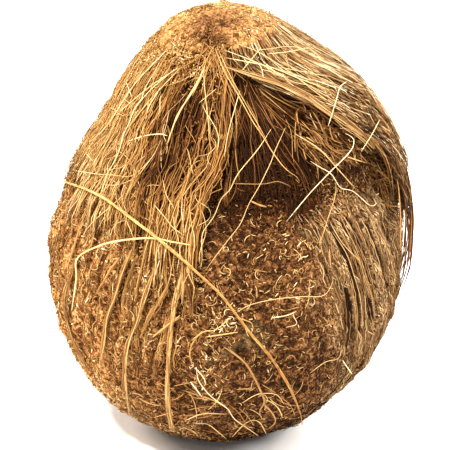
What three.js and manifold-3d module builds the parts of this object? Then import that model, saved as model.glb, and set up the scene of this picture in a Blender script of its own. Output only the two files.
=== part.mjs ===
// A half-husked coconut: the ripe nut in its felt of short coir, with a tuft of long husk fibre
// left on at the stalk end and combed down over its shoulders. Millimetres, +Z up. The origin is
// the middle of the small flat spot that the nut rests on, and -Y is its best side.
// Azimuths are in degrees round +Z, from +X towards +Y. A strand is drawn through points of
// [azimuth, height, lift], where the lift is how far it stands off the surface under it.
import * as THREE from "three";
import { mergeVertices } from "three/addons/utils/BufferGeometryUtils.js";
import Module from "manifold-3d";

const { clamp, degToRad, lerp, radToDeg, seededRandom: random, smoothstep } = THREE.MathUtils;

// The nut
const BELLY_RADIUS = 57.2;
const BELLY_HEIGHT = 60;
const BELLY_SHIFT = 2.5; // the belly stands this far to +X of the flat spot
const LOWER_SEMI_AXIS = 62.5; // the ground cuts the lower half short, which makes the flat spot
const UPPER_SEMI_AXIS = 54;
const KEEL = 0.012; // how far the three faint keels stand out, as a share of the radius
const FELT_LUMP = 0.75;
const NUT_COLUMNS = 52;
const NUT_ROWS = 20;
const FIRST_LUMPS = -1.2; // latitudes over which the felt's lumps fade in above the flat spot
const FULL_LUMPS = -0.8;

// Ridges of matted fibre down the nut, on the side that is not strapped
const RIDGE_WIDTH = 3.4;
const RIDGE_THICKNESS = 2;
const RIDGES = [
  [[-62, 82], [-57, 72], [-52, 54], [-47, 32]],
  [[-53, 84], [-49, 73], [-43, 54], [-39, 30]],
  [[-42, 82], [-38, 70], [-32, 50], [-27, 26]],
  [[-31, 78], [-26, 64], [-19, 46], [-14, 22]],
  [[-18, 72], [-12, 58], [-5, 40], [0, 20]],
  [[-4, 70], [2, 54], [9, 36], [14, 18]],
];
const BACK_RIDGES = 9;
const BACK_RIDGE_FROM = 16;
const BACK_RIDGE_STEP = 13.5;
const BACK_RIDGE_DROP = 16; // between the points of a ridge on the back
const BACK_RIDGE_TURNS = [0, 5, 10, 14]; // how far its points lie round from its top

// Curls of coir standing out of the felt
const CURLS = 40;
const CURL_WIDTH = 1.1;
const CURL_THICKNESS = 1;
const CURL_LATITUDES = [-1.02, 0.42];
const CURL_REACH = [2.2, 3.8];
const CURL_TURN = 1.4; // how far either half of a curl turns from its heading, at most
const CURL_RISE = 0.6; // how far the middle of a curl stands out
const CURL_SINK = -0.5; // and how deep its ends are rooted
const CURL_CLEARANCE = 2.6;
const LONG_CURLS = [
  [[-90, 50, -0.3], [-85, 46, 0.6], [-80, 39, 0.7], [-75, 28, 0.7], [-68, 22, 0.8], [-66, 17, 0.8],
    [-70, 14, 0.7], [-73, 19, -0.3]],
  [[-96, 31, -0.3], [-89, 27, 0.6], [-79, 17, 0.7], [-74, 12, -0.2]],
  [[-88, 64, -0.3], [-79, 67, 0.7], [-71, 68, 0.7], [-61, 65, 0.6], [-57, 67, -0.2]],
];

// The tuft: height, radius on the steep side (-X) and radius on the full side (+X)
const CROWN_SHIFT = 1.5;
const SHOULDERS = [
  [40, 57.8, 58.3], [60, 60.2, 61], [76, 57.8, 60.8], [90, 50.5, 58], [105, 40.8, 51.5],
  [123, 29.8, 38.5], [134, 21, 24.5], [141.5, 10, 11], [144, 1, 1],
];
const HUB_HEIGHT = 140; // where the combed sheet starts, on the full side of the crown
const HUB_DROP = 7; // and how much lower it starts on the steep side
// The sheet is one fan of fibre round the crown. Its first fibres are swept round the full side,
// which leaves a parting at the front.
const LAUNCH = [-82, 275];
const SWEEP = 67;
const SWEEP_EBB = 4.6;
const SWAY = -16; // the last fibres are swept a little back over the parting
const SWAY_EBB = 9;
const PARTING = [-101, -15];
const SWEEP_BY_HEIGHT = [
  [70, 1], [88, 0.98], [99, 0.93], [108, 0.81], [117, 0.63], [124, 0.38], [128, 0.17], [132, 0],
];
const SHEET_ROWS = [0, 0.08, 0.18, 0.31, 0.45, 0.59, 0.72, 0.84, 0.93, 1];
const COLUMNS_PER_LOCK = 3;
const LOCKS = 31;
// Hem of the sheet: azimuth and height
const HEM = [
  [-15, 82], [0, 80], [20, 74], [60, 69], [110, 66], [150, 72], [180, 80], [212, 75], [228, 71],
  [240, 69], [250, 71], [259, 64],
];
const LOCK_TIP = 9;
const LOCK_DROPS = [-5, 7]; // locks end this far below or above the hem
const TIP_PROFILE = [0, 1, 0.7]; // share of LOCK_TIP at each column of a lock
const HEM_START = 0.84; // share of the way down at which the sheet begins to lie on the nut
const HEM_THICKNESS = 1;
const GROOVE = 1.3;
const SHEET_INSIDE = 0.8; // the sheet goes this far in, as a share of its radius
// Under-layer seen in the parting: how far it lies under the sheet, and its hem
const UNDER_DEPTH = 5.5;
const UNDER_HEM = 90;
const UNDER_COLUMNS = 48;
const UNDER_HEIGHTS = [143.4, 140, 134, 126, 117, 108, 99];
const UNDER_RAGGED = [2, -3]; // its hem lies this far off UNDER_HEM at alternate columns
const CROWN_ROUGHNESS = 1.2;
const CROWN_LIFT = 0.6;

// Separate fibres of the tuft
const FIBRE_WIDTH = 1.5;
const FIBRE_THICKNESS = 1.2;
const SHEET_FIBRES = 16;
const ROOT_DEPTH = -1.5;
const UNDER_FIBRES = 8;
const UNDER_FAN = [-92, -24];
const UNDER_HUB = -70;
const CROWN_STUBS = 7;
const STUB_AZIMUTHS = [90, 290];
const STUB_HEIGHTS = [133, 140];
const FRINGE = 10;
const FRINGE_AZIMUTHS = [-24, 22];
const FRINGE_TIPS = [44, 62];
const STRAP_WIDTH = 2.6;
const STRAP_THICKNESS = 1.5;
const STRAPS = [
  [[-138, 82, -1], [-143, 72, 0], [-151, 60, 0.8], [-156, 45, 0.8], [-155, 34, 0.8], [-149, 23, 0.8]],
  [[-128, 82, -1], [-133, 71, 0], [-139, 58, 0.8], [-144, 44, 0.8], [-144, 31, 0.8]],
  [[-120, 84, -1], [-124, 70, 0], [-129, 55, 0.8], [-136, 42, 0.8], [-140, 24, 0.8]],
  [[-111, 84, -1], [-115, 68, 0], [-119, 56, 0.8], [-126, 40, 0.8], [-130, 24, 0.8], [-127, 11, 0.8]],
  [[-105, 82, -1], [-107, 72, 0], [-112, 60, 0.8], [-116, 51, 0.8], [-121, 43, 0.8]],
  [[-101, 80, -1], [-103, 68, 0.2], [-106, 55, 0.8], [-109, 38, 0.8], [-113, 22, 0.8], [-117, 9, 0.8]],
  [[180, 86, -1], [176, 70, 0], [172, 55, 0.8], [170, 38, 0.8], [172, 24, 0.8]],
  [[-166, 84, -1], [-168, 70, 0], [-172, 56, 0.8], [-174, 40, 0.8]],
];
const STRAY_WIDTH = 1.1;
const STRAY_THICKNESS = 1;
const STRAYS = [
  [[-176, 87, -0.6], [-160, 90, 1], [-142, 91, 1.3], [-120, 86, 1.4], [-107, 80, 1.6], [-98, 74, 2],
    [-91, 67, 2.4], [-86, 59, 2.6], [-80, 51, 2.6], [-73, 40, 2.4], [-64, 27, 2.2], [-58, 16, 1.8]],
  [[-146, 70, -0.4], [-134, 77, 1.2], [-126, 80.5, 1.2], [-115, 83.5, 1], [-102, 83, -0.5]],
  [[-23, 111, -1.2], [-30, 108, 0.5], [-37, 104, 0.8], [-46, 100, 0.5], [-54, 97, -1], [-63, 93, -2.5],
    [-70, 89, -5.4]],
  [[-72, 116, -7.5], [-78, 110, -2.5], [-85, 105, 0.7], [-91, 97, 1], [-95, 90, 1], [-99, 82, -1.5]],
  [[-56, 110, -8.5], [-51, 100, -3], [-47, 95, -1], [-40, 91, 0.5], [-33, 88, 1.4]],
  [[4, 108, -0.5], [-10, 106, 0.9], [-21, 105, 0.8], [-30, 104, -0.5]],
  [[40, 112, -0.5], [58, 100, 1], [80, 84, 1.3], [98, 70, 2], [112, 50, 2.4], [120, 32, 2]],
  [[150, 96, -0.5], [138, 84, 1.1], [120, 77, 1.3], [104, 74, -0.5]],
];

const STRAND_TIP = 0.62; // width of a strand's ends, as a share of its middle
const STRAND_TAPER = 0.3; // and the share of its length that each end thins over
const GAP = 0.35; // between the tuft and the nut under it
const SEED = 41;

const shoulders = new THREE.CubicInterpolant(
  SHOULDERS.map(([height]) => height),
  SHOULDERS.flatMap(([, steep, full]) => [steep, full]),
  2,
);

// Reads a table of [place, value] at any place, straight between its rows
function read(table, place) {
  const next = clamp(table.findIndex(([at]) => at > place), 1, table.length - 1);
  const [from, low] = table[next - 1];
  const [to, high] = table[next];
  return lerp(low, high, clamp((place - from) / (to - from), 0, 1));
}

function between(low, high) {
  return lerp(low, high, random());
}

// One value for each of `count` places
function list(count, value) {
  return Array.from({ length: count }, (_, i) => value(i));
}

function around(azimuth, radius, height, lean) {
  const angle = degToRad(azimuth);
  return new THREE.Vector3(lean + radius * Math.cos(angle), radius * Math.sin(angle), height);
}

// Uneven lumps all over the felt, with smaller ones on them
function feltLump(azimuth, latitude) {
  const angle = degToRad(azimuth);
  const across = Math.sin(7 * angle + 3 * Math.sin(4 * latitude));
  const upwards = Math.sin(11 * latitude + 2 * Math.sin(5 * angle));
  const smaller = Math.sin(17 * angle + 9 * latitude) * Math.cos(15 * latitude);
  return FELT_LUMP * (across * upwards + 0.6 * smaller);
}

// A point of the nut's felt, grown outwards; the latitude is in radians up from the belly
function nutPoint(azimuth, latitude, grow) {
  const keels = 1 + KEEL * Math.cos(3 * degToRad(azimuth + 34)) * Math.cos(latitude);
  const skin = grow + feltLump(azimuth, latitude) * smoothstep(latitude, FIRST_LUMPS, FULL_LUMPS);
  const radius = (BELLY_RADIUS * keels + skin) * Math.cos(latitude);
  const semiAxis = latitude < 0 ? LOWER_SEMI_AXIS : UPPER_SEMI_AXIS;
  const height = BELLY_HEIGHT + (semiAxis + skin) * Math.sin(latitude);
  return around(azimuth, radius, height, BELLY_SHIFT * smoothstep(height, 0, BELLY_HEIGHT));
}

function latitudeAt(height) {
  const semiAxis = height < BELLY_HEIGHT ? LOWER_SEMI_AXIS : UPPER_SEMI_AXIS;
  return Math.asin(clamp((height - BELLY_HEIGHT) / semiAxis, -1, 1));
}

function tuftRadius(azimuth, height) {
  const [steep, full] = shoulders.evaluate(height);
  return lerp(steep, full, 0.5 + 0.5 * Math.cos(degToRad(azimuth)));
}

// A point of the combed outside of the tuft, lifted square to it
function tuftPoint(azimuth, height, lift) {
  const fall = (tuftRadius(azimuth, height - 1) - tuftRadius(azimuth, height + 1)) / 2;
  const out = lift / Math.hypot(1, fall);
  const lean = lerp(BELLY_SHIFT, CROWN_SHIFT, smoothstep(height, 90, 140));
  return around(azimuth, tuftRadius(azimuth, height) + out, height + out * fall, lean);
}

// The surface that loose strands lie on: the tuft, and below its hem the nut
function looseStrandPoint([azimuth, height, lift]) {
  const onNut = nutPoint(azimuth, latitudeAt(height), lift);
  return onNut.lerp(tuftPoint(azimuth, height, lift), smoothstep(height, 56, 70));
}

function nutStrandPoint([azimuth, height, lift = 0]) {
  return nutPoint(azimuth, latitudeAt(height), lift);
}

// Moves every corner of a plain form to its place and closes the seams, as a manifold solid
function bend({ Manifold, Mesh }, form, place) {
  const corners = form.getAttribute("position");
  for (let i = 0; i < corners.count; i++) {
    const corner = place(new THREE.Vector3().fromBufferAttribute(corners, i));
    corners.setXYZ(i, corner.x, corner.y, corner.z);
  }
  form.deleteAttribute("normal");
  form.deleteAttribute("uv");
  const closed = mergeVertices(form, 1e-4);
  const vertProperties = new Float32Array(closed.getAttribute("position").array);
  const triVerts = new Uint32Array(closed.index.array);
  return new Manifold(new Mesh({ numProp: 3, vertProperties, triVerts }));
}

// One flat strand through the points, thinner towards both ends
function strand(kit, points, width, thickness, sides, segments) {
  const route = new THREE.CatmullRomCurve3(points, false, "centripetal");
  const middle = new THREE.Vector3(0, 0, BELLY_HEIGHT);
  return bend(kit, new THREE.CylinderGeometry(0.5, 0.5, 1, sides, segments), (corner) => {
    const along = corner.y + 0.5;
    const centre = route.getPointAt(along);
    const forward = route.getTangentAt(along);
    const outward = centre.clone().sub(middle);
    outward.addScaledVector(forward, -outward.dot(forward)).normalize();
    const sideways = new THREE.Vector3().crossVectors(forward, outward);
    const taper = lerp(STRAND_TIP, 1, smoothstep(Math.min(along, 1 - along), 0, STRAND_TAPER));
    centre.addScaledVector(sideways, corner.x * width * taper);
    return centre.addScaledVector(outward, corner.z * thickness * taper);
  });
}

function nutBody(kit, grow) {
  const ball = new THREE.SphereGeometry(1, NUT_COLUMNS, NUT_ROWS).rotateX(Math.PI / 2);
  return bend(kit, ball, (corner) => {
    const azimuth = radToDeg(Math.atan2(corner.y, corner.x));
    const point = nutPoint(azimuth, Math.asin(clamp(corner.z, -1, 1)), grow);
    point.z = Math.max(point.z, 0);
    return point;
  });
}

function ridgeRoutes() {
  const back = list(BACK_RIDGES, (i) => {
    const azimuth = BACK_RIDGE_FROM + BACK_RIDGE_STEP * i + between(-2, 2);
    const top = between(64, 70);
    return BACK_RIDGE_TURNS.map((turn, k) => [azimuth + turn, top - BACK_RIDGE_DROP * k]);
  });
  return [...RIDGES, ...back].map((route) => route.map(nutStrandPoint));
}

// How high the felt is bare: up to the tips of the locks, and in the parting to the under-layer
function bareHeight(azimuth) {
  const [left, right] = PARTING;
  if (azimuth > left && azimuth < right) return UNDER_HEM - 4;
  return read(HEM, azimuth < HEM[0][0] ? azimuth + 360 : azimuth) - LOCK_TIP;
}

function curlRoute(azimuth, latitude, reach) {
  const heading = between(0, 2 * Math.PI);
  const turn = between(-CURL_TURN, CURL_TURN);
  return [-1, -0.4, 0.4, 1].map((along) => {
    const angle = heading + turn * along;
    const east = reach * along * Math.cos(angle) / BELLY_RADIUS / Math.cos(latitude);
    const north = reach * along * Math.sin(angle) / BELLY_RADIUS;
    const lift = lerp(CURL_RISE, CURL_SINK, along * along);
    return nutPoint(azimuth + radToDeg(east), latitude + north, lift);
  });
}

// Curls are scattered over the bare felt, clear of the strands that lie on it
function curlRoutes(strands) {
  const lying = strands.flatMap((points) => new THREE.CatmullRomCurve3(points).getPoints(30));
  const routes = [];
  while (routes.length < CURLS) {
    const azimuth = between(-180, 180);
    const latitude = between(...CURL_LATITUDES);
    const reach = between(...CURL_REACH);
    const middle = nutPoint(azimuth, latitude, 1);
    const clear = lying.every((point) => point.distanceTo(middle) > reach + CURL_CLEARANCE);
    if (clear && middle.z < bareHeight(azimuth)) {
      routes.push(curlRoute(azimuth, latitude, reach));
    }
  }
  return routes;
}

// The ridges and curls, each grown by `grow` on all sides
function nutStrands(kit, ridges, curls, longCurls, grow) {
  const ridge = [RIDGE_WIDTH + 2 * grow, RIDGE_THICKNESS + 2 * grow];
  const curl = [CURL_WIDTH + 2 * grow, CURL_THICKNESS + 2 * grow];
  return [
    ...ridges.map((route) => strand(kit, route, ...ridge, 4, 5)),
    ...curls.map((route) => strand(kit, route, ...curl, 3, 3)),
    ...longCurls.map((route) => strand(kit, route, ...curl, 3, 10)),
  ];
}

// Azimuth of a fibre of the sheet, by where it stands in the fan (0..1) and its height
function fanAzimuth(place, height) {
  const sweep = SWEEP * Math.exp(-SWEEP_EBB * place) + SWAY * Math.exp(-SWAY_EBB * (1 - place));
  return lerp(...LAUNCH, place) + sweep * read(SWEEP_BY_HEIGHT, height);
}

function hubHeight(azimuth) {
  return HUB_HEIGHT - HUB_DROP * (0.5 - 0.5 * Math.cos(degToRad(azimuth - 15)));
}

// Height of a fibre of the sheet, by how far down it the place is, from the hub (0) to the hem (1)
function fanHeight(place, down, drop) {
  return lerp(hubHeight(lerp(...LAUNCH, place)), read(HEM, fanAzimuth(place, 0)) - drop, down);
}

// The combed sheet: a fan of locks with a furrow between each two and a pointed tip on each
function sheet(kit) {
  const columns = LOCKS * COLUMNS_PER_LOCK;
  const drops = list(LOCKS + 1, () => between(...LOCK_DROPS));
  const relief = list(columns + 1, (i) => {
    return [-GROOVE, between(0.1, 0.8), between(-0.3, 0.4)][i % COLUMNS_PER_LOCK];
  });
  const lastRow = SHEET_ROWS.length - 1;
  const slab = new THREE.BoxGeometry(1, 1, 1, columns, lastRow, 1);
  return bend(kit, slab, (corner) => {
    const column = Math.round((corner.x + 0.5) * columns);
    const place = column / columns;
    const down = SHEET_ROWS[Math.round((0.5 - corner.y) * lastRow)];
    const tip = LOCK_TIP * TIP_PROFILE[column % COLUMNS_PER_LOCK];
    const height = fanHeight(place, down, drops[Math.floor(column / COLUMNS_PER_LOCK)] + tip);
    const azimuth = fanAzimuth(place, height);
    const outside = tuftPoint(azimuth, height, relief[column] * smoothstep(down, 0.02, 0.3));
    const onNut = nutPoint(azimuth, latitudeAt(height), HEM_THICKNESS + GAP + relief[column] * 0.25);
    outside.lerp(onNut, smoothstep(down, HEM_START, 1));
    const reach = corner.z > 0 ? 1 : SHEET_INSIDE;
    return outside.multiply(new THREE.Vector3(reach, reach, 1));
  });
}

// The rough cut crown, and the shorter layer under the sheet that is seen in the parting
function underLayer(kit) {
  const rows = UNDER_HEIGHTS.length + 2;
  const hem = list(UNDER_COLUMNS, (i) => UNDER_HEM + UNDER_RAGGED[i % 2] + between(-2, 2));
  const relief = list(UNDER_COLUMNS, (i) => [-0.5, 0.5][i % 2] + between(-0.3, 0.3));
  const rough = list(UNDER_COLUMNS * rows, () => between(-CROWN_ROUGHNESS, CROWN_ROUGHNESS));
  const ball = new THREE.SphereGeometry(1, UNDER_COLUMNS, rows).rotateX(Math.PI / 2);
  return bend(kit, ball, (corner) => {
    const azimuth = radToDeg(Math.atan2(corner.y, corner.x));
    const row = Math.round((0.5 - Math.asin(clamp(corner.z, -1, 1)) / Math.PI) * rows);
    const column = (Math.round(azimuth / 360 * UNDER_COLUMNS) + UNDER_COLUMNS) % UNDER_COLUMNS;
    if (row === 0) return new THREE.Vector3(CROWN_SHIFT, 0, SHOULDERS.at(-1)[0] - 0.4);
    if (row === rows) return new THREE.Vector3(BELLY_SHIFT, 0, UNDER_HEM);
    if (row === rows - 1) {
      return nutPoint(azimuth, latitudeAt(hem[column]), HEM_THICKNESS + GAP + relief[column] * 0.4);
    }
    const height = UNDER_HEIGHTS[row - 1];
    const buried = smoothstep(hubHeight(azimuth) - height, -1, 9);
    const onCrown = CROWN_LIFT + rough[row * UNDER_COLUMNS + column];
    return tuftPoint(azimuth, height, lerp(onCrown, relief[column] - UNDER_DEPTH, buried));
  });
}

function sheetFibres(kit) {
  return list(SHEET_FIBRES, (i) => {
    const place = (i + between(0.2, 0.8)) / SHEET_FIBRES;
    const stray = between(-0.012, 0.012);
    const start = between(0.02, 0.2);
    const end = between(0.75, 1.1);
    const points = [0, 0.25, 0.5, 0.75, 1].map((along) => {
      const down = lerp(start, end, along);
      const height = fanHeight(place, down, LOCK_TIP);
      const lift = along ? lerp(0.15, 1.5, smoothstep(down, 0.8, 1.05)) : ROOT_DEPTH;
      return looseStrandPoint([fanAzimuth(clamp(place + stray * along, 0, 1), height), height, lift]);
    });
    return strand(kit, points, FIBRE_WIDTH, FIBRE_THICKNESS, 3, 7);
  });
}

// Thin fibres of the under-layer, down the parting
function underFibres(kit) {
  return list(UNDER_FIBRES, (i) => {
    const azimuth = lerp(...UNDER_FAN, (i + between(0.1, 0.9)) / UNDER_FIBRES);
    const hub = lerp(azimuth, UNDER_HUB, 0.6);
    const tip = between(84, 90);
    const points = [[hub, 122, -7], [lerp(hub, azimuth, 0.6), 110, -5.3], [azimuth, 99, -5.2]];
    const hanging = nutPoint(azimuth + between(-3, 3), latitudeAt(tip), 1.8);
    return strand(kit, [...points.map(looseStrandPoint), hanging], FIBRE_WIDTH, FIBRE_THICKNESS, 3, 5);
  });
}

function crownStubs(kit) {
  return list(CROWN_STUBS, (i) => {
    const azimuth = lerp(...STUB_AZIMUTHS, (i + between(0.1, 0.9)) / CROWN_STUBS);
    const height = between(...STUB_HEIGHTS);
    const root = [azimuth, height, ROOT_DEPTH];
    const points = [root, [azimuth + between(-12, 12), height - 1, 1], [azimuth, height - 5, 2.2]];
    return strand(kit, points.map(looseStrandPoint), FIBRE_WIDTH, FIBRE_THICKNESS, 3, 3);
  });
}

// Loose fibres hanging past the hem on the full side, clear of the nut
function fringe(kit) {
  return list(FRINGE, (i) => {
    const azimuth = lerp(...FRINGE_AZIMUTHS, i / (FRINGE - 1)) + between(-1, 1);
    const upper = [[azimuth + 6, 104, -0.5], [azimuth, 92, 0.4], [azimuth - 2, 78, between(0.4, 1.2)]];
    const hanging = [66, between(...FRINGE_TIPS)].map((height) => {
      return tuftPoint(azimuth - 3 + between(-2, 2), height, between(0, 1.2));
    });
    const points = [...upper.map(looseStrandPoint), ...hanging];
    return strand(kit, points, FIBRE_WIDTH, FIBRE_THICKNESS, 3, 7);
  });
}

function looseStrands(kit, straps) {
  const strays = STRAYS.map((route) => route.map(looseStrandPoint));
  return [
    ...straps.map((route) => strand(kit, route, STRAP_WIDTH, STRAP_THICKNESS, 4, 7)),
    ...strays.map((route) => strand(kit, route, STRAY_WIDTH, STRAY_THICKNESS, 3, 12)),
  ];
}

function finish(name, solid, colour, roughness) {
  const { vertProperties, triVerts } = solid.getMesh();
  const geometry = new THREE.BufferGeometry();
  geometry.setAttribute("position", new THREE.BufferAttribute(new Float32Array(vertProperties), 3));
  geometry.setIndex(new THREE.BufferAttribute(new Uint32Array(triVerts), 1));
  geometry.computeVertexNormals();
  const material = new THREE.MeshStandardMaterial({ color: colour, roughness, metalness: 0 });
  const mesh = new THREE.Mesh(geometry, material);
  mesh.name = name;
  return mesh;
}

// The one body, without any sealed hollow inside it
function largest(solid) {
  return solid.decompose().sort((a, b) => b.volume() - a.volume())[0];
}

async function coconut() {
  const kit = await Module();
  kit.setup();
  const { union } = kit.Manifold;
  random(SEED);
  const ridges = ridgeRoutes();
  const straps = STRAPS.map((route) => route.map(looseStrandPoint));
  const longCurls = LONG_CURLS.map((route) => route.map(nutStrandPoint));
  const curls = curlRoutes([...ridges, ...straps, ...longCurls]);
  const nutGrownBy = (grow) => {
    return union([nutBody(kit, grow), ...nutStrands(kit, ridges, curls, longCurls, grow)]);
  };
  const nut = nutGrownBy(0);
  const tuft = union([
    underLayer(kit), sheet(kit), ...sheetFibres(kit), ...underFibres(kit), ...crownStubs(kit),
    ...fringe(kit), ...looseStrands(kit, straps),
  ]).subtract(nutGrownBy(GAP));

  const part = new THREE.Group();
  part.name = "coconut";
  part.add(
    finish("nut", largest(nut), "#8a5a33", 0.95),
    finish("husk_tuft", largest(tuft), "#c99a58", 0.8),
  );
  return part;
}

export default await coconut();
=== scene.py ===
"""A half-husked coconut: its felt, its combed tuft and its loose fibres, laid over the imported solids.

Forms and routes are worked in millimetres and degrees, and meshes are made in metres. An azimuth
goes round +Z from +X towards +Y, a latitude is in radians up from the belly, and a lift is how far
a point stands off the surface under it.
"""
import math

import bpy
import numpy as np
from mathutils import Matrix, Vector


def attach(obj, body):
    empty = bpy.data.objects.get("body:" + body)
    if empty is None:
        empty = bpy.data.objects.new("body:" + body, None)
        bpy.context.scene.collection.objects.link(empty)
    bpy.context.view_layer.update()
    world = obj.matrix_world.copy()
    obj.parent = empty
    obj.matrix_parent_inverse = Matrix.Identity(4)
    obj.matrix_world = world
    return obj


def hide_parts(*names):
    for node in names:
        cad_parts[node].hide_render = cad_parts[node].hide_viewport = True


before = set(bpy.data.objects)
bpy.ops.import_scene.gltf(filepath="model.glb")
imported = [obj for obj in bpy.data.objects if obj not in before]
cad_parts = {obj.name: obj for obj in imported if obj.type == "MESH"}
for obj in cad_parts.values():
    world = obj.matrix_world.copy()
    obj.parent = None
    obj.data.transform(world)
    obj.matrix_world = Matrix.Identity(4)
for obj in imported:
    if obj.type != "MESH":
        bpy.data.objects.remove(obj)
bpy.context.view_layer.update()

MM = 0.001

# What each piece stands for: the node that it replaces, and its slot
NUT = ("nut", "coir_felt")
TUFT = ("husk_tuft", "husk_fibre")

# The nut
BELLY_RADIUS = 57.2
BELLY_HEIGHT = 60
BELLY_SHIFT = 2.5       # how far its middle lies towards +X of the flat spot
LOWER_SEMI_AXIS = 62.5
UPPER_SEMI_AXIS = 54
COVERED_HEIGHT = 112    # near its top, which the tuft hides
LOWEST_CRUMB = 1.5      # how far above the floor the lowest crumb of felt is rooted
LOWEST_STRAND = 0.5     # and how far above it the lowest strand lies
KEEL = 0.012            # how far its three keels stand out, as a share of the radius
KEEL_AZIMUTH = -34
RIDGE_PITCH = 10.5      # degrees between the ridges of matted fibre
RIDGE_SLANT = 0.3       # degrees that a ridge turns for each mm of height
FIRST_RIDGE = -62
RIDGED = (-66, -56, 128, 146)   # the ridges fade in and out over these azimuths
STRAPPED_PITCH = 5.2            # the same for the soft ridges under the straps
STRAPPED_SLANT = 0.2
FURROW_DEPTH = 2.8
FURROW_HALF_WIDTH = 1.1         # degrees

# The tuft: height, radius on the steep side (-X) and radius on the full side (+X)
CROWN_SHIFT = 1.5
SHOULDERS = np.array([
    [40, 57.8, 58.3], [60, 60.2, 61], [76, 57.8, 60.8], [90, 50.5, 58], [105, 40.8, 51.5],
    [123, 29.8, 38.5], [134, 21, 24.5], [141.5, 10, 11], [144, 1, 1],
])
CROWN_HEIGHT = 144

# The comb of the sheet, from its first fibre at the right of the parting round to its last at the left
HUB_HEIGHT = 140
HUB_DROP = 7            # the hub is this much lower on the steep side
LAUNCH = (-82, 275)     # azimuths at which the first and last fibres leave the hub
SWEEP = 67              # degrees that the first fibres turn on their way down
SWAY = -16              # degrees that the last ones turn
SWEEP_BY_HEIGHT = np.array([    # height, and the share of that turn made by then
    [70, 1], [88, 0.98], [99, 0.93], [108, 0.81], [117, 0.63], [124, 0.38], [128, 0.17], [132, 0],
])
HEM = np.array([                # azimuth, and the height at which the sheet ends
    [-15, 82], [0, 80], [20, 74], [60, 69], [110, 66], [150, 72], [180, 80], [212, 75], [228, 71],
    [240, 69], [250, 71], [259, 64],
])
HIGHEST_FIBRE = 143
LOCKS = 92
SHEET_TONES = np.array([        # share of the way round, and how pale the sheet is there
    [0, 0.04], [0.1, 0.04], [0.2, 0.1], [0.3, 0.34], [0.5, 0.34], [0.69, 0.34], [0.72, 0.24], [1, 0.24],
])
PARTING = (-99, -14)    # azimuths between which the sheet is open
UNDER_DEPTH = 5.5       # how far under the sheet the shorter layer in the parting lies
UNDER_HEM = 90

# The camera looks level with +Y, from above. Points of the view are counted from its top left.
VIEW_ELEVATION = 20
VIEW_DISTANCE = 800
VIEW_WIDTH = 147.5      # width of the view at the aim point
VIEW_AIM = np.array([2.1, 0, 69.5])
VIEW_POINTS = 450       # points across and down
CROWN_PATCH = (213, 27)     # a browner patch on the crown
HUB = (213, 51)             # where the comb starts
WORN_PATCH = (366, 124)     # a patch of bare pith beside the arch of strands
ARCH = [(225, 67), (256, 76), (285, 86), (308, 98), (330, 113), (346, 124), (362, 135), (375, 147),
        (385, 163), (390, 182), (392, 205), (396, 232), (402, 262)]
UPPER_ARCH = np.array(ARCH[:9], float)
SHOULDER_LINE = [240, 300, 340, 370, 400], [24, 44, 72, 104, 156]   # inside the outline: across, down


# ---------------------------------------------------------------- forms

def lerp(low, high, share):
    return low + (high - low) * share


def smoothstep(value, low, high):
    share = np.clip((value - low) / (high - low), 0, 1)
    return share * share * (3 - 2 * share)


def unit(vectors):
    return vectors / np.maximum(np.linalg.norm(vectors, axis=-1, keepdims=True), 1e-9)


def smooth_table(table, steps=12):
    """The rows of a table joined by one smooth curve, with `steps` rows for each of its own."""
    at, values = table[:, :1], table[:, 1:]
    slopes = np.gradient(values, table[:, 0], axis=0)
    rows = []
    for i in range(len(table) - 1):
        t = np.linspace(0, 1, steps, endpoint=i == len(table) - 2)[:, None]
        span = at[i + 1] - at[i]
        curve = ((1 + 2 * t) * (1 - t) ** 2 * values[i] + t * (1 - t) ** 2 * span * slopes[i]
                 + t * t * (3 - 2 * t) * values[i + 1] + t * t * (t - 1) * span * slopes[i + 1])
        rows.append(np.hstack([at[i] + span * t, curve]))
    return np.vstack(rows)


shoulders = smooth_table(SHOULDERS)


class Ripple:
    """Smooth random waves through space, mostly within -1 to 1, with lumps of about `size` mm."""

    def __init__(self, size, seed, waves=28):
        rng = np.random.default_rng(seed)
        pace = 2 * math.pi / (size * rng.uniform(1.2, 2.8, waves))
        self.waves = unit(rng.normal(size=(waves, 3))) * pace[:, None]
        self.phases = rng.uniform(0, 2 * math.pi, waves)

    def __call__(self, points):
        total = np.sin(points @ self.waves.T + self.phases).sum(-1)
        return 0.8 * total / math.sqrt(len(self.phases) / 2)


def around(azimuth, radius, height, lean):
    """Points at a radius from an upright axis that leans `lean` mm towards +X at their height."""
    angle = np.radians(azimuth)
    x, y = lean + radius * np.cos(angle), radius * np.sin(angle)
    return np.stack(np.broadcast_arrays(x, y, height + 0 * x), -1)


def nut_lean(height):
    return BELLY_SHIFT * smoothstep(height, 0, BELLY_HEIGHT)


def nut_point(azimuth, latitude, grow=0.0):
    """On the nut's plain form, which is made larger by `grow` mm."""
    keels = 1 + KEEL * np.cos(3 * np.radians(azimuth - KEEL_AZIMUTH)) * np.cos(latitude)
    radius = (BELLY_RADIUS * keels + grow) * np.cos(latitude)
    semi_axis = np.where(latitude < 0, LOWER_SEMI_AXIS, UPPER_SEMI_AXIS)
    height = BELLY_HEIGHT + (semi_axis + grow) * np.sin(latitude)
    return around(azimuth, radius, height, nut_lean(height))


def latitude_at(height):
    semi_axis = np.where(height < BELLY_HEIGHT, LOWER_SEMI_AXIS, UPPER_SEMI_AXIS)
    return np.arcsin(np.clip((height - BELLY_HEIGHT) / semi_axis, -1, 1))


def on_nut(azimuth, height, lift=0.0):
    """On the nut at a height, or near its top at any height above it."""
    return nut_point(azimuth, latitude_at(np.minimum(height, COVERED_HEIGHT)), lift)


def tuft_radius(azimuth, height):
    steep = np.interp(height, shoulders[:, 0], shoulders[:, 1])
    full = np.interp(height, shoulders[:, 0], shoulders[:, 2])
    return lerp(steep, full, 0.5 + 0.5 * np.cos(np.radians(azimuth)))


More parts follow.
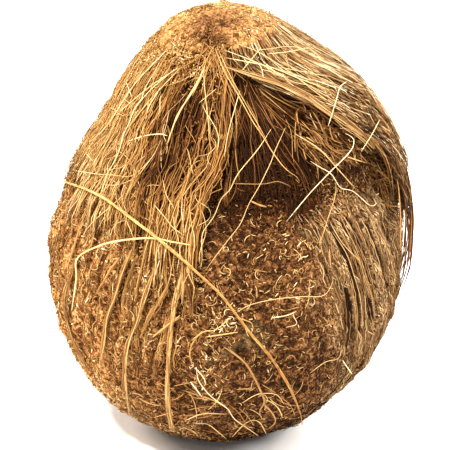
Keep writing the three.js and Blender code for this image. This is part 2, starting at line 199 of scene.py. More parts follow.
def tuft_lean(height):
    return lerp(BELLY_SHIFT, CROWN_SHIFT, smoothstep(height, 90, 140))


def tuft_point(azimuth, height, lift=0.0):
    """On the tuft's plain form, and `lift` mm straight off it."""
    fall = (tuft_radius(azimuth, height - 1) - tuft_radius(azimuth, height + 1)) / 2
    out = lift / np.hypot(1, fall)
    return around(azimuth, tuft_radius(azimuth, height) + out, height + out * fall, tuft_lean(height))


def unwound(azimuth):
    """An azimuth counted on from -15 degrees, so that the sheet lies in one run of them."""
    return (azimuth + 15) % 360 - 15


lump = Ripple(9, seed=1)
clod = Ripple(3.6, seed=2)
wander = Ripple(26, seed=3)
patches = Ripple(18, seed=13)


def matted_share(azimuth, height):
    """How far the felt is matted down in long fibres at a place, from 0 to 1."""
    start, full, ebb, end = RIDGED
    sides = smoothstep(azimuth, start, full) * (1 - smoothstep(azimuth, ebb, end))
    return sides * smoothstep(height, 12, 30) * (1 - smoothstep(height, 84, 94))


def ridge_share(azimuth, height):
    """How far the matted felt is ridged: in patches round the far side, and less beside the furrows."""
    point = nut_point(azimuth, latitude_at(height))
    patchy = lerp(1, np.clip(0.45 + 0.8 * patches(point), 0, 1), smoothstep(azimuth, -34, 0))
    return patchy * lerp(0.4, 1, smoothstep(azimuth, 0, 40)) * matted_share(azimuth, height)


def furrow_share(azimuth, height):
    """1 along the bottom of a long furrow in the felt, and 0 away from them all."""
    deepest = 0 * azimuth * height
    for line, low, high in furrow_lines:
        off = (azimuth - np.interp(height, line[:, 1], line[:, 0])) / FURROW_HALF_WIDTH
        ends = smoothstep(height, low, low + 7) * (1 - smoothstep(height, high - 5, high))
        deepest = np.maximum(deepest, np.exp(-off ** 2) * ends)
    return deepest


def strapped_share(azimuth, height):
    """How far the felt is in close soft ridges under the straps, from 0 to 1."""
    turned = unwound(azimuth)
    sides = smoothstep(turned, 150, 170) * (1 - smoothstep(turned, 252, 268))
    return sides * smoothstep(height, 24, 50) * (1 - smoothstep(height, 84, 94))


def ridge_wave(azimuth, height, point):
    """1 on the back of a ridge and -1 in the furrow between two."""
    turned = azimuth - RIDGE_SLANT * (80 - height) - FIRST_RIDGE
    stray = 1.1 + 2 * smoothstep(azimuth, -30, 20)
    return np.cos(2 * math.pi * turned / RIDGE_PITCH + stray * wander(point))


def strapped_wave(azimuth, height, point):
    """The same for the soft ridges."""
    turned = azimuth + STRAPPED_SLANT * (80 - height)
    return np.cos(2 * math.pi * turned / STRAPPED_PITCH + 1.6 * wander(point))


# Used to darken fibres and crumbs in the furrows and pale them on the ridge backs, as painted shade and
# light.
def matted_crest(azimuth, height, point):
    """How high a place lies on either kind of ridge: 1 on a back, -1 in a furrow, 0 away from them."""
    return (ridge_wave(azimuth, height, point) * ridge_share(azimuth, height)
            + strapped_wave(azimuth, height, point) * strapped_share(azimuth, height)
            - 1.3 * furrow_share(azimuth, height))


def felt_relief(azimuth, latitude):
    """How far the felt stands off the nut's plain form: lumps, ridges, soft ridges and furrows."""
    point = nut_point(azimuth, latitude)
    height = point[..., 2]
    wave = ridge_wave(azimuth, height, point)
    ridges = np.where(wave > 0, 0.8 * wave, -1.7 * np.abs(wave) ** 1.5) * ridge_share(azimuth, height)
    soft = 0.6 * strapped_wave(azimuth, height, point) * strapped_share(azimuth, height)
    furrows = -FURROW_DEPTH * furrow_share(azimuth, height)
    return (0.35 * lump(point) + 0.4 * clod(point)) * smoothstep(height, 1, 8) + ridges + soft + furrows


def felt_point(azimuth, latitude, lift=0.0):
    return nut_point(azimuth, latitude, felt_relief(azimuth, latitude) + lift)


def fibre_hem(azimuth):
    """How low the combed fibres reach: they stop short of the hem round the far side and the left."""
    turned = unwound(azimuth)
    short = smoothstep(turned, 110, 150) * (1 - smoothstep(turned, 225, 246))
    return np.interp(turned, *HEM.T) + 11 * short


def loose_point(azimuth, height, lift=0.0):
    """On the tuft, and below its hem on the nut, except on the full side, where the fibres hang clear."""
    edge = fan_azimuth(0.0, height)
    hanging = smoothstep(azimuth, edge - 4, edge) * (1 - smoothstep(azimuth, 20, 50))
    parting = smoothstep(azimuth, PARTING[0], PARTING[0] + 4) * (1 - smoothstep(azimuth, edge - 4, edge))
    hem = lerp(np.interp(unwound(azimuth), *HEM.T) + 1, UNDER_HEM - 2, parting)
    share = smoothstep(height, lerp(hem, 54, hanging), lerp(hem + 16, 70, hanging))[..., None]
    return lerp(on_nut(azimuth, height, lift + 0.8), tuft_point(azimuth, height, lift), share)


def under_point(azimuth, height, lift=0.0):
    """On the shorter layer under the sheet."""
    share = smoothstep(height, 88, 101)[..., None]
    sunk = tuft_point(azimuth, height, lift - UNDER_DEPTH)
    return lerp(on_nut(azimuth, height, lift + 1.2), sunk, share)


def fan_azimuth(place, height):
    """Where the fibre a share `place` of the way round the sheet has come to at a height."""
    sweep = SWEEP * np.exp(-4.6 * place) + SWAY * np.exp(-9 * (1 - place))
    return lerp(*LAUNCH, place) + sweep * np.interp(height, *SWEEP_BY_HEIGHT.T)


def hub_height(azimuth):
    return HUB_HEIGHT - HUB_DROP * (0.5 - 0.5 * np.cos(np.radians(azimuth - 15)))


def fan_height(place, down, drop=0.0):
    """The height of a fibre of the sheet a share `down` of the way from the hub to its hem."""
    hem = np.interp(fan_azimuth(place, 0), *HEM.T)
    return lerp(hub_height(lerp(*LAUNCH, place)), hem - drop, down)


# ---------------------------------------------------------------- camera

def view_axes():
    """The camera's right, its up and the way back to it from the aim point."""
    tilt = math.radians(VIEW_ELEVATION)
    right = np.array([1.0, 0, 0])
    up = np.array([0, math.sin(tilt), math.cos(tilt)])
    back = np.array([0, -math.cos(tilt), math.sin(tilt)])
    return right, up, back


def cast(points, lift):
    """Where rays through points of the view meet the loose surface, a `lift` above it."""
    right, up, back = view_axes()
    scale = VIEW_WIDTH / VIEW_POINTS / VIEW_DISTANCE
    points = np.array(points, float)
    across, above = points[:, :1] - VIEW_POINTS / 2, VIEW_POINTS / 2 - points[:, 1:2]
    rays = unit(scale * (across * right + above * up) - back)
    reach = np.arange(VIEW_DISTANCE - 80, VIEW_DISTANCE + 60, 0.2)
    marks = VIEW_AIM + VIEW_DISTANCE * back + rays[:, None] * reach[:, None]
    height = np.clip(marks[..., 2], LOWEST_STRAND, CROWN_HEIGHT - 0.1)
    lean = np.where(height > BELLY_HEIGHT, tuft_lean(height), nut_lean(height))
    azimuth = np.degrees(np.arctan2(marks[..., 1], marks[..., 0] - lean))
    skin = loose_point(azimuth, height, np.reshape(lift, (-1, 1)))
    radius = np.hypot(skin[..., 0] - lean, skin[..., 1])
    gap = np.hypot(marks[..., 0] - lean, marks[..., 1]) - radius
    inside = (gap < 0) & (marks[..., 2] < CROWN_HEIGHT)
    first = np.where(inside.any(1), inside.argmax(1), np.argmin(gap, axis=1))
    met = marks[np.arange(len(marks)), first]
    met[:, 2] = np.maximum(met[:, 2], LOWEST_STRAND)
    return met


def view_route(points, lift, joints):
    """A smooth route over the coconut through points of the view."""
    return cast(spline(np.array(points, float), joints), lift)


def spline(points, joints):
    """A Catmull-Rom curve through the points, cut into `joints` points at even steps."""
    ends = np.vstack([2 * points[0] - points[1], points, 2 * points[-1] - points[-2]])
    t = np.linspace(0, 1, 12, endpoint=False)[:, None]
    fine = []
    for a, b, c, d in zip(ends, ends[1:], ends[2:], ends[3:]):
        fine.append(0.5 * (2 * b + (c - a) * t + (2 * a - 5 * b + 4 * c - d) * t ** 2
                           + (3 * b - a - 3 * c + d) * t ** 3))
    fine = np.vstack([*fine, points[-1:]])
    travel = np.concatenate([[0], np.cumsum(np.linalg.norm(np.diff(fine, axis=0), axis=1))])
    even = np.linspace(0, travel[-1], joints)
    return np.stack([np.interp(even, travel, column) for column in fine.T], -1)


def bearings(points):
    """The azimuth and the height of points on the nut."""
    out = points[:, 0] - nut_lean(points[:, 2])
    return np.stack([np.degrees(np.arctan2(points[:, 1], out)), points[:, 2]], -1)


def furrow_line(points):
    """A furrow through points of the view: its places from the lowest up, and its two end heights."""
    line = bearings(view_route(points, 0, 14))[::-1]
    return line, line[0, 1], line[-1, 1]


# Long furrows between the matted fibres beside the curls, in points of the view
FURROWS = [
    [(328, 222), (340, 240), (350, 260), (356, 280), (360, 302), (362, 338)],
    [(338, 216), (350, 234), (358, 252), (366, 276), (373, 304), (377, 326)],
    [(346, 212), (354, 228), (362, 246), (370, 268), (377, 292)],
    [(366, 216), (376, 240), (384, 268), (388, 296)],
    [(346, 282), (351, 304), (352, 330), (348, 356)],
]
furrow_lines = [furrow_line(points) for points in FURROWS]


def aim_camera():
    camera = bpy.data.cameras.new("camera")
    camera.sensor_width = 36
    camera.lens = camera.sensor_width * VIEW_DISTANCE / VIEW_WIDTH
    camera.clip_end = 10
    holder = bpy.data.objects.new("camera", camera)
    holder.location = Vector((VIEW_AIM + VIEW_DISTANCE * view_axes()[2]) * MM)
    holder.rotation_euler = (math.radians(90 - VIEW_ELEVATION), 0, 0)
    bpy.context.collection.objects.link(holder)
    bpy.context.scene.camera = holder


# ---------------------------------------------------------------- finishes

def linear(red, green, blue):
    """A colour as a painter would name it (0 to 255), in the shader's own scale."""
    share = np.array([red, green, blue]) / 255
    light = np.where(share <= 0.04045, share / 12.92, ((share + 0.055) / 1.055) ** 2.4)
    return (*light.tolist(), 1.0)


class Value:
    """One output socket. Arithmetic on it adds Math nodes."""

    def __init__(self, recipe, socket):
        self.recipe, self.socket = recipe, socket

    def math(self, operation, *others):
        sockets = dict(enumerate((self, *others)))
        return self.recipe.node("ShaderNodeMath", {"operation": operation}, sockets)

    def __add__(self, other):
        return self.math("ADD", other)

    __radd__ = __add__

    def __mul__(self, other):
        return self.math("MULTIPLY", other)

    __rmul__ = __mul__

    def __sub__(self, other):
        return self.math("SUBTRACT", other)

    def __rsub__(self, other):
        return self.recipe.node("ShaderNodeMath", {"operation": "SUBTRACT"}, {0: other, 1: self})

    def range(self, low, high):
        """0 up to `low`, 1 from `high`, and a smooth step between."""
        sockets = {"Value": self, "From Min": low, "From Max": high}
        return self.recipe.node("ShaderNodeMapRange", {"interpolation_type": "SMOOTHSTEP"}, sockets)


class Recipe:
    """A material and the nodes that make its finish."""

    def __init__(self, name):
        self.material = bpy.data.materials.new(name)
        self.material.use_nodes = True
        self.tree = self.material.node_tree
        self.shader = self.tree.nodes["Principled BSDF"]

    def node(self, kind, settings=None, sockets=None, output=0):
        made = self.tree.nodes.new(kind)
        for key, setting in (settings or {}).items():
            if key == "stops":
                self.set_stops(made.color_ramp, setting)
            else:
                setattr(made, key, setting)
        for key, value in (sockets or {}).items():
            self.feed(made.inputs[key], value)
        return Value(self, made.outputs[output])

    def set_stops(self, ramp, stops):
        while len(ramp.elements) < len(stops):
            ramp.elements.new(0.5)
        for element, (position, colour) in zip(ramp.elements, stops):
            element.position, element.color = position, colour

    def feed(self, socket, value):
        if isinstance(value, Value):
            self.tree.links.new(value.socket, socket)
        else:
            socket.default_value = value

    def ramp(self, value, stops):
        return self.node("ShaderNodeValToRGB", {"stops": stops}, {0: value})

    def mix(self, share, first, second):
        return self.node("ShaderNodeMix", {"data_type": "RGBA"}, {0: share, 6: first, 7: second}, output=2)

    def vector(self, operation, first, second, output=0):
        return self.node("ShaderNodeVectorMath", {"operation": operation}, {0: first, 1: second}, output)

    def axis(self, place, number):
        return self.node("ShaderNodeSeparateXYZ", None, {0: place}, number)

    def place(self):
        """Where a point lies on its object, in metres."""
        return self.node("ShaderNodeTexCoord", output=3)

    def map_place(self):
        return self.node("ShaderNodeUVMap", {"uv_map": "OFBake"})

    def bump(self, height, distance, strength=1.0):
        sockets = {"Strength": strength, "Distance": distance, "Height": height}
        return self.node("ShaderNodeBump", None, sockets)

    def noise(self, place, scale, detail=3.0, distortion=0.0):
        sockets = {"Vector": place, "Scale": scale, "Detail": detail, "Distortion": distortion}
        return self.node("ShaderNodeTexNoise", None, sockets)

    def finish(self, **sockets):
        for key, value in sockets.items():
            self.feed(self.shader.inputs[key.replace("_", " ")], value)
        return self.material


GREY_STOPS = [(0.0, linear(28, 17, 9)), (0.3, linear(84, 58, 35)), (0.6, linear(148, 113, 75)),
              (0.85, linear(204, 172, 126)), (1.0, linear(246, 230, 198))]
GOLD_STOPS = [(0.0, linear(38, 18, 6)), (0.3, linear(112, 67, 29)), (0.6, linear(184, 134, 72)),
              (0.85, linear(228, 188, 122)), (1.0, linear(252, 232, 184))]


def fibre_finish(name, roughness):
    """Each fibre's place on its map is its tone, dark to pale, and its tint, grey to gold."""
    recipe = Recipe(name)
    tone, tint = recipe.axis(recipe.map_place(), 0), recipe.axis(recipe.map_place(), 1)
    colour = recipe.mix(tint, recipe.ramp(tone, GREY_STOPS), recipe.ramp(tone, GOLD_STOPS))
    return recipe.finish(Base_Color=colour, Roughness=roughness, Specular_IOR_Level=0.06)


def felt_finish():
    """The matted bed of the nut: crumbs over pits darkened as painted shade, golden on the left, red-brown
    over the middle and greyer on the right, with a few bare patches of olive shell."""
    recipe = Recipe("coir_felt_bed")
    place = recipe.place()
    blotches = recipe.noise(place, 40, 4)
    crumbs = recipe.noise(place, 620, 4, 0.8)
    grains = recipe.noise(place, 1700, 2, 1.5)
    # its tone follows the same noise as its bump, so the pits are darker: painted shade
    tone = (crumbs * 0.62 + grains * 0.38).range(0.38, 0.64) * 0.75 + blotches * 0.3
    golden = recipe.ramp(tone, [
        (0.08, linear(44, 22, 9)), (0.4, linear(136, 82, 42)), (0.7, linear(194, 136, 76)),
        (0.95, linear(232, 182, 118))])
    reddish = recipe.ramp(tone, [
        (0.1, linear(22, 12, 6)), (0.42, linear(68, 40, 20)), (0.72, linear(114, 72, 39)),
        (0.97, linear(172, 122, 74))])
    greyer = recipe.ramp(tone, [
        (0.08, linear(28, 16, 8)), (0.4, linear(92, 62, 38)), (0.7, linear(148, 112, 74)),
        (0.95, linear(196, 160, 116))])
    shell = recipe.ramp(crumbs, [(0.3, linear(62, 50, 30)), (0.7, linear(112, 94, 60))])
    bare = recipe.noise(place, 62, 4, 0.5).range(0.62, 0.67) * 0.65
    across = recipe.axis(place, 0) + (blotches - 0.5) * 0.05
    colour = recipe.mix(across.range(-0.034, -0.008), golden, reddish)
    colour = recipe.mix(across.range(0.026, 0.05), colour, greyer)
    bump = recipe.bump(crumbs * 0.7 + grains * 0.3, 0.0011)
    return recipe.finish(Base_Color=recipe.mix(bare, colour, shell), Roughness=0.95, Normal=bump,
                         Specular_IOR_Level=0.05)


def bed_finish():
    """What shows between the combed fibres: the same husk in shade, streaked along the comb."""
    recipe = Recipe("husk_bed")
    place = recipe.place()
    streaks = recipe.noise(recipe.vector("MULTIPLY", recipe.map_place(), (520, 14, 1)), 1.0, 4)
    grains = recipe.noise(place, 900, 3, 1.0)
    tone = streaks * 0.65 + grains * 0.35
    shaded = recipe.ramp(tone, [
        (0.38, linear(20, 9, 3)), (0.54, linear(66, 34, 13)), (0.7, linear(136, 84, 38))])
    crown = recipe.ramp(grains, [
        (0.36, linear(96, 58, 28)), (0.5, linear(164, 114, 64)), (0.64, linear(208, 160, 102))])
    browner = recipe.ramp(grains, [
        (0.36, linear(52, 30, 16)), (0.5, linear(104, 66, 38)), (0.64, linear(160, 112, 68))])
    patch = Vector(cast([CROWN_PATCH], 0)[0] * MM)
    from_patch = recipe.vector("DISTANCE", place, patch, output=1)
    crown = recipe.mix((from_patch + streaks * 0.006).range(0.005, 0.017), browner, crown)
    colour = recipe.mix(recipe.axis(place, 2).range(0.126, 0.134), shaded, crown)
    return recipe.finish(Base_Color=colour, Roughness=0.9, Normal=recipe.bump(tone, 0.0007, 0.9),
                         Specular_IOR_Level=0.06)


def floor_finish():
    recipe = Recipe("studio_floor")
    grain = recipe.noise(recipe.place(), 3, 2)
    colour = recipe.ramp(grain, [(0.0, linear(244, 243, 241)), (1.0, linear(250, 249, 248))])
    return recipe.finish(Base_Color=colour, Roughness=0.9, Specular_IOR_Level=0.1)


# ---------------------------------------------------------------- meshes

def add_mesh(name, corners, faces, chart, material):
    """A mesh from corners in mm, groups of faces, and the map place of each corner of each face."""
    mesh = bpy.data.meshes.new(name)
    sizes = np.concatenate([np.full(len(group), group.shape[1]) for group in faces])
    loops = np.concatenate([group.ravel() for group in faces])
    mesh.vertices.add(len(corners))
    mesh.vertices.foreach_set("co", (corners * MM).astype(np.float32).ravel())
    mesh.loops.add(len(loops))
    mesh.loops.foreach_set("vertex_index", loops.astype(np.int32))
    mesh.polygons.add(len(sizes))
    mesh.polygons.foreach_set("loop_start", np.concatenate([[0], np.cumsum(sizes)[:-1]]).astype(np.int32))
    mesh.update(calc_edges=True)
    layer = mesh.uv_layers.new(name="OFBake")
    layer.uv.foreach_set("vector", np.vstack(chart).astype(np.float32).ravel())
    mesh.polygons.foreach_set("use_smooth", np.ones(len(sizes), bool))
    mesh.materials.append(material)
    mesh.validate()
    piece = bpy.data.objects.new(name, mesh)
    bpy.context.collection.objects.link(piece)
    return piece


def place_piece(piece, node, slot):
    """On the one body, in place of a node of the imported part."""
    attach(piece, "root")
    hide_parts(node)


def fibre_mesh(name, batches, material, home):
    """One piece made of batches of fibres, each a closed thin body of three flat sides or more."""
    corners, quads, caps, quad_chart, cap_chart = [], [], [], [], []
    first = 0
    for batch in batches:
        made = fibre_bodies(**batch)
        corners.append(made["corners"])
        quads.append(made["quads"] + first)
        caps.append(made["caps"] + first)
        quad_chart.append(made["quad_chart"])
        cap_chart.append(made["cap_chart"])
        first += len(made["corners"])
    piece = add_mesh(name, np.vstack(corners), [*quads, *caps], [*quad_chart, *cap_chart], material)
    place_piece(piece, *home)


def fibre_bodies(routes, width, tone, tint, flat=0.75, sides=3, tip=0.4):
    """The corners, faces and map places of fibres that follow `routes`, each one's joints in a row."""
    count, joints, _ = routes.shape
    along = np.linspace(0, 1, joints)
    taper = lerp(tip, 1, smoothstep(np.minimum(along, 1 - along), 0, 0.14))
    width = np.broadcast_to(np.reshape(width, (-1, 1)), (count, 1)) * taper
    forward = unit(np.gradient(routes, axis=1))
    outward = routes - np.array([0, 0, BELLY_HEIGHT])
    outward = unit(outward - forward * (outward * forward).sum(-1, keepdims=True))
    sideways = np.cross(forward, outward)
    angle = 2 * math.pi * (np.arange(sides) + 0.25) / sides
    round_it = (sideways[:, :, None] * np.cos(angle)[:, None]
                + flat * outward[:, :, None] * np.sin(angle)[:, None])
    corners = routes[:, :, None] + round_it * (width / 2)[..., None, None]

    index = np.arange(count * joints * sides).reshape(count, joints, sides)
    near, far = index[:, :-1], index[:, 1:]
    quads = np.stack([near, far, np.roll(far, -1, 2), np.roll(near, -1, 2)], -1).reshape(-1, 4)
    caps = np.concatenate([index[:, 0], index[:, -1, ::-1]])

    tone = np.clip(np.broadcast_to(tone, (count, joints)) + 0.02 * along, 0.02, 0.98)
    tint = np.clip(np.broadcast_to(np.reshape(tint, (-1, 1)), (count, 1)), 0.02, 0.95)
    u = np.broadcast_to(tone[:, :, None], (count, joints, sides + 1))
    v = np.broadcast_to(tint[:, :, None] + 0.007 * np.arange(sides + 1), (count, joints, sides + 1))
    chart = np.stack([u, v], -1)
    quad_chart = np.stack([chart[:, :-1, :-1], chart[:, 1:, :-1], chart[:, 1:, 1:], chart[:, :-1, 1:]], 3)
    corner_shift = np.zeros((sides, 2))
    corner_shift[0, 0] = 0.006
    cap_chart = np.concatenate([chart[:, 0, :-1] + corner_shift, chart[:, -1, -2::-1] + corner_shift])
    return {"corners": corners.reshape(-1, 3), "quads": quads, "caps": caps,
            "quad_chart": quad_chart.reshape(-1, 2), "cap_chart": cap_chart.reshape(-1, 2)}


def closed_ball(name, rings, top, bottom, material, home):
    """A closed form from rings of points, highest first, with a point at each pole."""
    rows, columns, _ = rings.shape
    index = np.arange(rows * columns).reshape(rows, columns)
    turned = np.roll(index, -1, 1)
    quads = np.stack([index[:-1], index[1:], turned[1:], turned[:-1]], -1).reshape(-1, 4)
    pole, foot = rows * columns, rows * columns + 1
    lid = np.stack([np.full(columns, pole), index[0], turned[0]], -1)
    base = np.stack([np.full(columns, foot), turned[-1], index[-1]], -1)
    corners = np.vstack([rings.reshape(-1, 3), top, bottom])
    u, v = np.meshgrid(np.arange(columns + 1) / columns, np.arange(rows) / (rows - 1))
    chart = np.stack([u, 0.02 + 0.96 * v], -1)
    quad_chart = np.stack([chart[:-1, :-1], chart[1:, :-1], chart[1:, 1:], chart[:-1, 1:]], 2)
    middle = (np.arange(columns) + 0.5) / columns
    lid_chart = np.stack([np.stack([middle, 0 * middle], -1), chart[0, :-1], chart[0, 1:]], 1)
    base_chart = np.stack([np.stack([middle, 1 + 0 * middle], -1), chart[-1, 1:], chart[-1, :-1]], 1)
    charts = [part.reshape(-1, 2) for part in (quad_chart, lid_chart, base_chart)]
    piece = add_mesh(name, corners, [quads, lid, base], charts, material)
    place_piece(piece, *home)


# ---------------------------------------------------------------- the nut

def nut_bed(material):
    """The felt's ground, with its columns closest where the furrows and the straps are."""
    columns, rows = 260, 90
    wide = np.linspace(-180, 180, 721)
    closeness = (1 + 1.8 * smoothstep(wide, -84, -66) * (1 - smoothstep(wide, -14, 10))
                 + 0.6 * (1 - smoothstep(wide, -112, -96)) + 0.6 * smoothstep(wide, 150, 165))
    travel = np.concatenate([[0], np.cumsum(closeness[1:] + closeness[:-1])])
    azimuth = np.interp(np.linspace(0, travel[-1], columns, endpoint=False), travel, wide)
    latitude = np.linspace(1.45, -1.5, rows)[:, None]
    rings = felt_point(azimuth, latitude)
    rings[..., 2] = np.maximum(rings[..., 2], 0)
    top = nut_point(np.zeros(1), np.full(1, math.pi / 2))
    closed_ball("nut_bed", rings, top, np.zeros((1, 3)), material, NUT)


def felt_shade(point):
    """The tone and tint of the felt: golden on the left, red-brown in the middle, grey on the right, and
    darker and greyer towards the foot as painted shade.
    """
    x, height = point[..., 0] + 6 * wander(point), point[..., 2]
    left = 1 - smoothstep(x, -34, -8)
    right = smoothstep(x, 26, 50) * (0.2 + 0.8 * smoothstep(height, 26, 56))
    # foot: darker and greyer low on the front, painted shade
    foot = (1 - smoothstep(height, 8, 44)) * smoothstep(x, -16, 26)
    tone = 0.2 + 0.3 * left + 0.4 * right - 0.42 * foot + 0.14 * lump(point) + 0.1 * wander(point * 1.3)
    tone = tone + left * (0.12 * (1 - smoothstep(height, 22, 52)) - 0.06 * smoothstep(height, 50, 75))
    return tone, 0.62 + 0.22 * left - 0.45 * right - 0.15 * foot


def bare_height(azimuth):
    """How high the felt shows: to the hem of the sheet, or of the under-layer in the parting."""
    parting = (azimuth > PARTING[0]) & (azimuth < PARTING[1])
    return np.where(parting, UNDER_HEM + 4, fibre_hem(azimuth) + 10)


def scatter(rng, count, back):
    """Uneven random places over the bare felt, as azimuth and latitude, with a share `back` on the back."""
    azimuth = rng.uniform(-180, 180, count * 3)
    latitude = np.arcsin(rng.uniform(-0.94, 0.72, count * 3))
    height = nut_point(azimuth, latitude)[..., 2]
    kept = (height < bare_height(azimuth)) & (height > LOWEST_CRUMB)
    kept &= (np.abs(azimuth + 90) < 105) | (rng.random(count * 3) < back)
    kept &= furrow_share(azimuth, height) < 0.4
    return azimuth[kept][:count], latitude[kept][:count]


def curl_routes(rng, azimuth, latitude, heading, length, turn, rise, joints):
    """Routes that curl by `turn` radians about their places, and stand `rise` mm up at one end."""
    along = np.linspace(-0.5, 0.5, joints)
    angle = heading[:, None] + turn[:, None] * along
    step = length[:, None] / (joints - 1)
    east = np.cumsum(np.cos(angle) * step, axis=1)
    north = np.cumsum(np.sin(angle) * step, axis=1)
    east -= east.mean(1, keepdims=True)
    north -= north.mean(1, keepdims=True)
    turned = azimuth[:, None] + np.degrees(east / BELLY_RADIUS / np.cos(latitude)[:, None])
    lift = 0.1 + rise[:, None] * (along + 0.5) ** 2 + rng.uniform(0, 0.24, (len(azimuth), 1))
    routes = felt_point(turned, latitude[:, None] + north / BELLY_RADIUS, lift)
    routes[..., 2] = np.maximum(routes[..., 2], 0.4)
    return routes


def felt_curls(name, rng, count, length, width, tone, pale, material,
               joints=4, rise=0.7, turn=2.0, tip=0.4):
    """Short fibres all over the felt, combed down where it is matted, and a share `pale` of paler ones."""
    azimuth, latitude = scatter(rng, count, back=0.55)
    count = len(azimuth)
    point = nut_point(azimuth, latitude)
    crest = matted_crest(azimuth, point[..., 2], point)
    ridged = matted_share(azimuth, point[..., 2])
    flow = -math.pi / 2 + 0.42 + rng.normal(0, 0.25, count)
    heading = np.where(rng.random(count) < 0.9 * ridged, flow, rng.uniform(0, 2 * math.pi, count))
    turning = rng.normal(0, turn, count) * (1 - 0.75 * ridged)
    routes = curl_routes(rng, azimuth, latitude, heading, rng.uniform(*length, count), turning,
                         rng.uniform(0, rise, count) * (1 - 0.6 * ridged), joints)
    bed_tone, tint = felt_shade(point)
    even = 1 - 0.5 * smoothstep(point[:, 0], 24, 44)
    # paler on ridge backs and darker in furrows: painted light and shade
    shade = bed_tone + 0.13 * np.minimum(2 * crest, 0.6) + rng.normal(0, 0.25, count) * even + tone
    shade = np.minimum(shade, lerp(0.72, 1, even))
    paler = rng.random(count) < pale * (1 - 0.88 * smoothstep(point[:, 0], 20, 34))
    shade = np.where(paler, rng.uniform(0.56, 0.9, count), shade)
    tint = np.where(paler, 0.72, tint) + rng.normal(0, 0.12, count)
    halves = np.sin(np.radians(azimuth)) < 0
    for side, part in (("front", halves), ("back", ~halves)):
        batch = {"routes": routes[part], "width": rng.uniform(*width, count)[part],
                 "tone": shade[part][:, None], "tint": tint[part], "tip": tip}
        fibre_mesh(f"{name}_{side}", [batch], material, NUT)


def furrow_flow(height):
    """How far the matted fibres beside the furrows have turned at a height, from where they were at 80."""
    line = furrow_lines[1][0]
    middle = np.interp(height, line[:, 1], line[:, 0]) - np.interp(80, line[:, 1], line[:, 0])
    return middle + 0.3 * np.maximum(line[0, 1] - height, 0) - 0.4 * np.maximum(height - line[-1, 1], 0)


def matted_fibres(name, rng, count, azimuths, tops, drop, slant, tone, tint, material):
    """Long fibres matted down on the nut, from the heights `tops` and for `drop` mm."""
    azimuth = rng.uniform(*azimuths, count)
    along = np.linspace(0, 1, 7)
    short = 1 - 0.65 * smoothstep(azimuth, -36, -22) * (1 - smoothstep(azimuth, 30, 50))
    height = rng.uniform(*tops, count)[:, None] - (short * rng.uniform(*drop, count))[:, None] * along
    height = np.maximum(height, 6)
    sway = rng.normal(0, 0.6, (count, 1)) * np.sin(2 * math.pi * (1.5 * along + rng.random((count, 1))))
    flow = slant * (80 - height) if slant else furrow_flow(height)
    turned = azimuth[:, None] + flow + sway + rng.normal(0, 1.2, (count, 1)) * along
    lift = rng.uniform(0, 0.55, (count, 1)) + rng.uniform(-0.2, 0.35, (count, 1)) * (2 * along - 1) ** 2
    routes = felt_point(turned, latitude_at(height), lift)
    middle = routes[:, 3]
    crest = matted_crest(turned[:, 3], middle[:, 2], middle)
    # paler on ridge backs and darker in furrows: painted light and shade
    shade = tone + np.where(crest > 0, 0.1, 0.28) * crest + rng.normal(0, 0.13, count)
    kept = (routes[:, 0, 2] < bare_height(turned[:, 0]) + 4) & (furrow_share(turned, height).max(1) < 0.5)
    batch = {"routes": routes[kept], "width": rng.uniform(0.22, 0.5, count)[kept],
             "tone": shade[kept][:, None], "tint": (tint + rng.normal(0, 0.12, count))[kept]}
    fibre_mesh(name, [batch], material, NUT)


# The fibres of each furrow: how many, lift, degrees off its line, tone, spread of tone, and width. The
# first row is near-black painted shade down in the furrow.
FURROW_FIBRES = [
    (18, -0.8, 0, -0.02, 0.04, 0.85),
    (5, 0.7, -2, 0.46, 0.14, 0.4),
    (5, 0.7, 2, 0.46, 0.14, 0.4),
]


def furrow_shade_fibres(rng, material):
    """Near-black fibres down in the furrows as painted shade, and paler ones along the edges of each."""
    batches = []
    for line, low, high in furrow_lines:
        for count, lift, off, tone, spread, width in FURROW_FIBRES:
            along = np.linspace(0, 1, 9)
            start = rng.uniform(-0.05, 0.6, (count, 1))
            height = lerp(low, high, start + rng.uniform(0.3, 0.5, (count, 1)) * along)
            turned = np.interp(height, line[:, 1], line[:, 0]) + off + rng.normal(0, 0.45, (count, 1))
            lifted = lift + rng.uniform(-0.3, 0.3, (count, 9))
            batches.append({
                "routes": nut_point(turned, latitude_at(height), lifted),
                "width": rng.uniform(0.7, 1.3, count) * width,
                "tone": rng.normal(tone, spread, (count, 1)), "tint": rng.normal(0.3, 0.1, count)})
    fibre_mesh("furrow_shade_fibres", batches, material, NUT)


# ---------------------------------------------------------------- the tuft

def parting_edges(height):
    """The azimuths between which the sheet is open at a height."""
    return fan_azimuth(np.ones(1), height) - 360, fan_azimuth(np.zeros(1), height)


def sheet_share(azimuth, height):
    """1 under the combed sheet and 0 in the parting."""
    left, right = parting_edges(height)
    return 1 - smoothstep(azimuth, left - 2, left + 2) * (1 - smoothstep(azimuth, right - 2, right + 2))


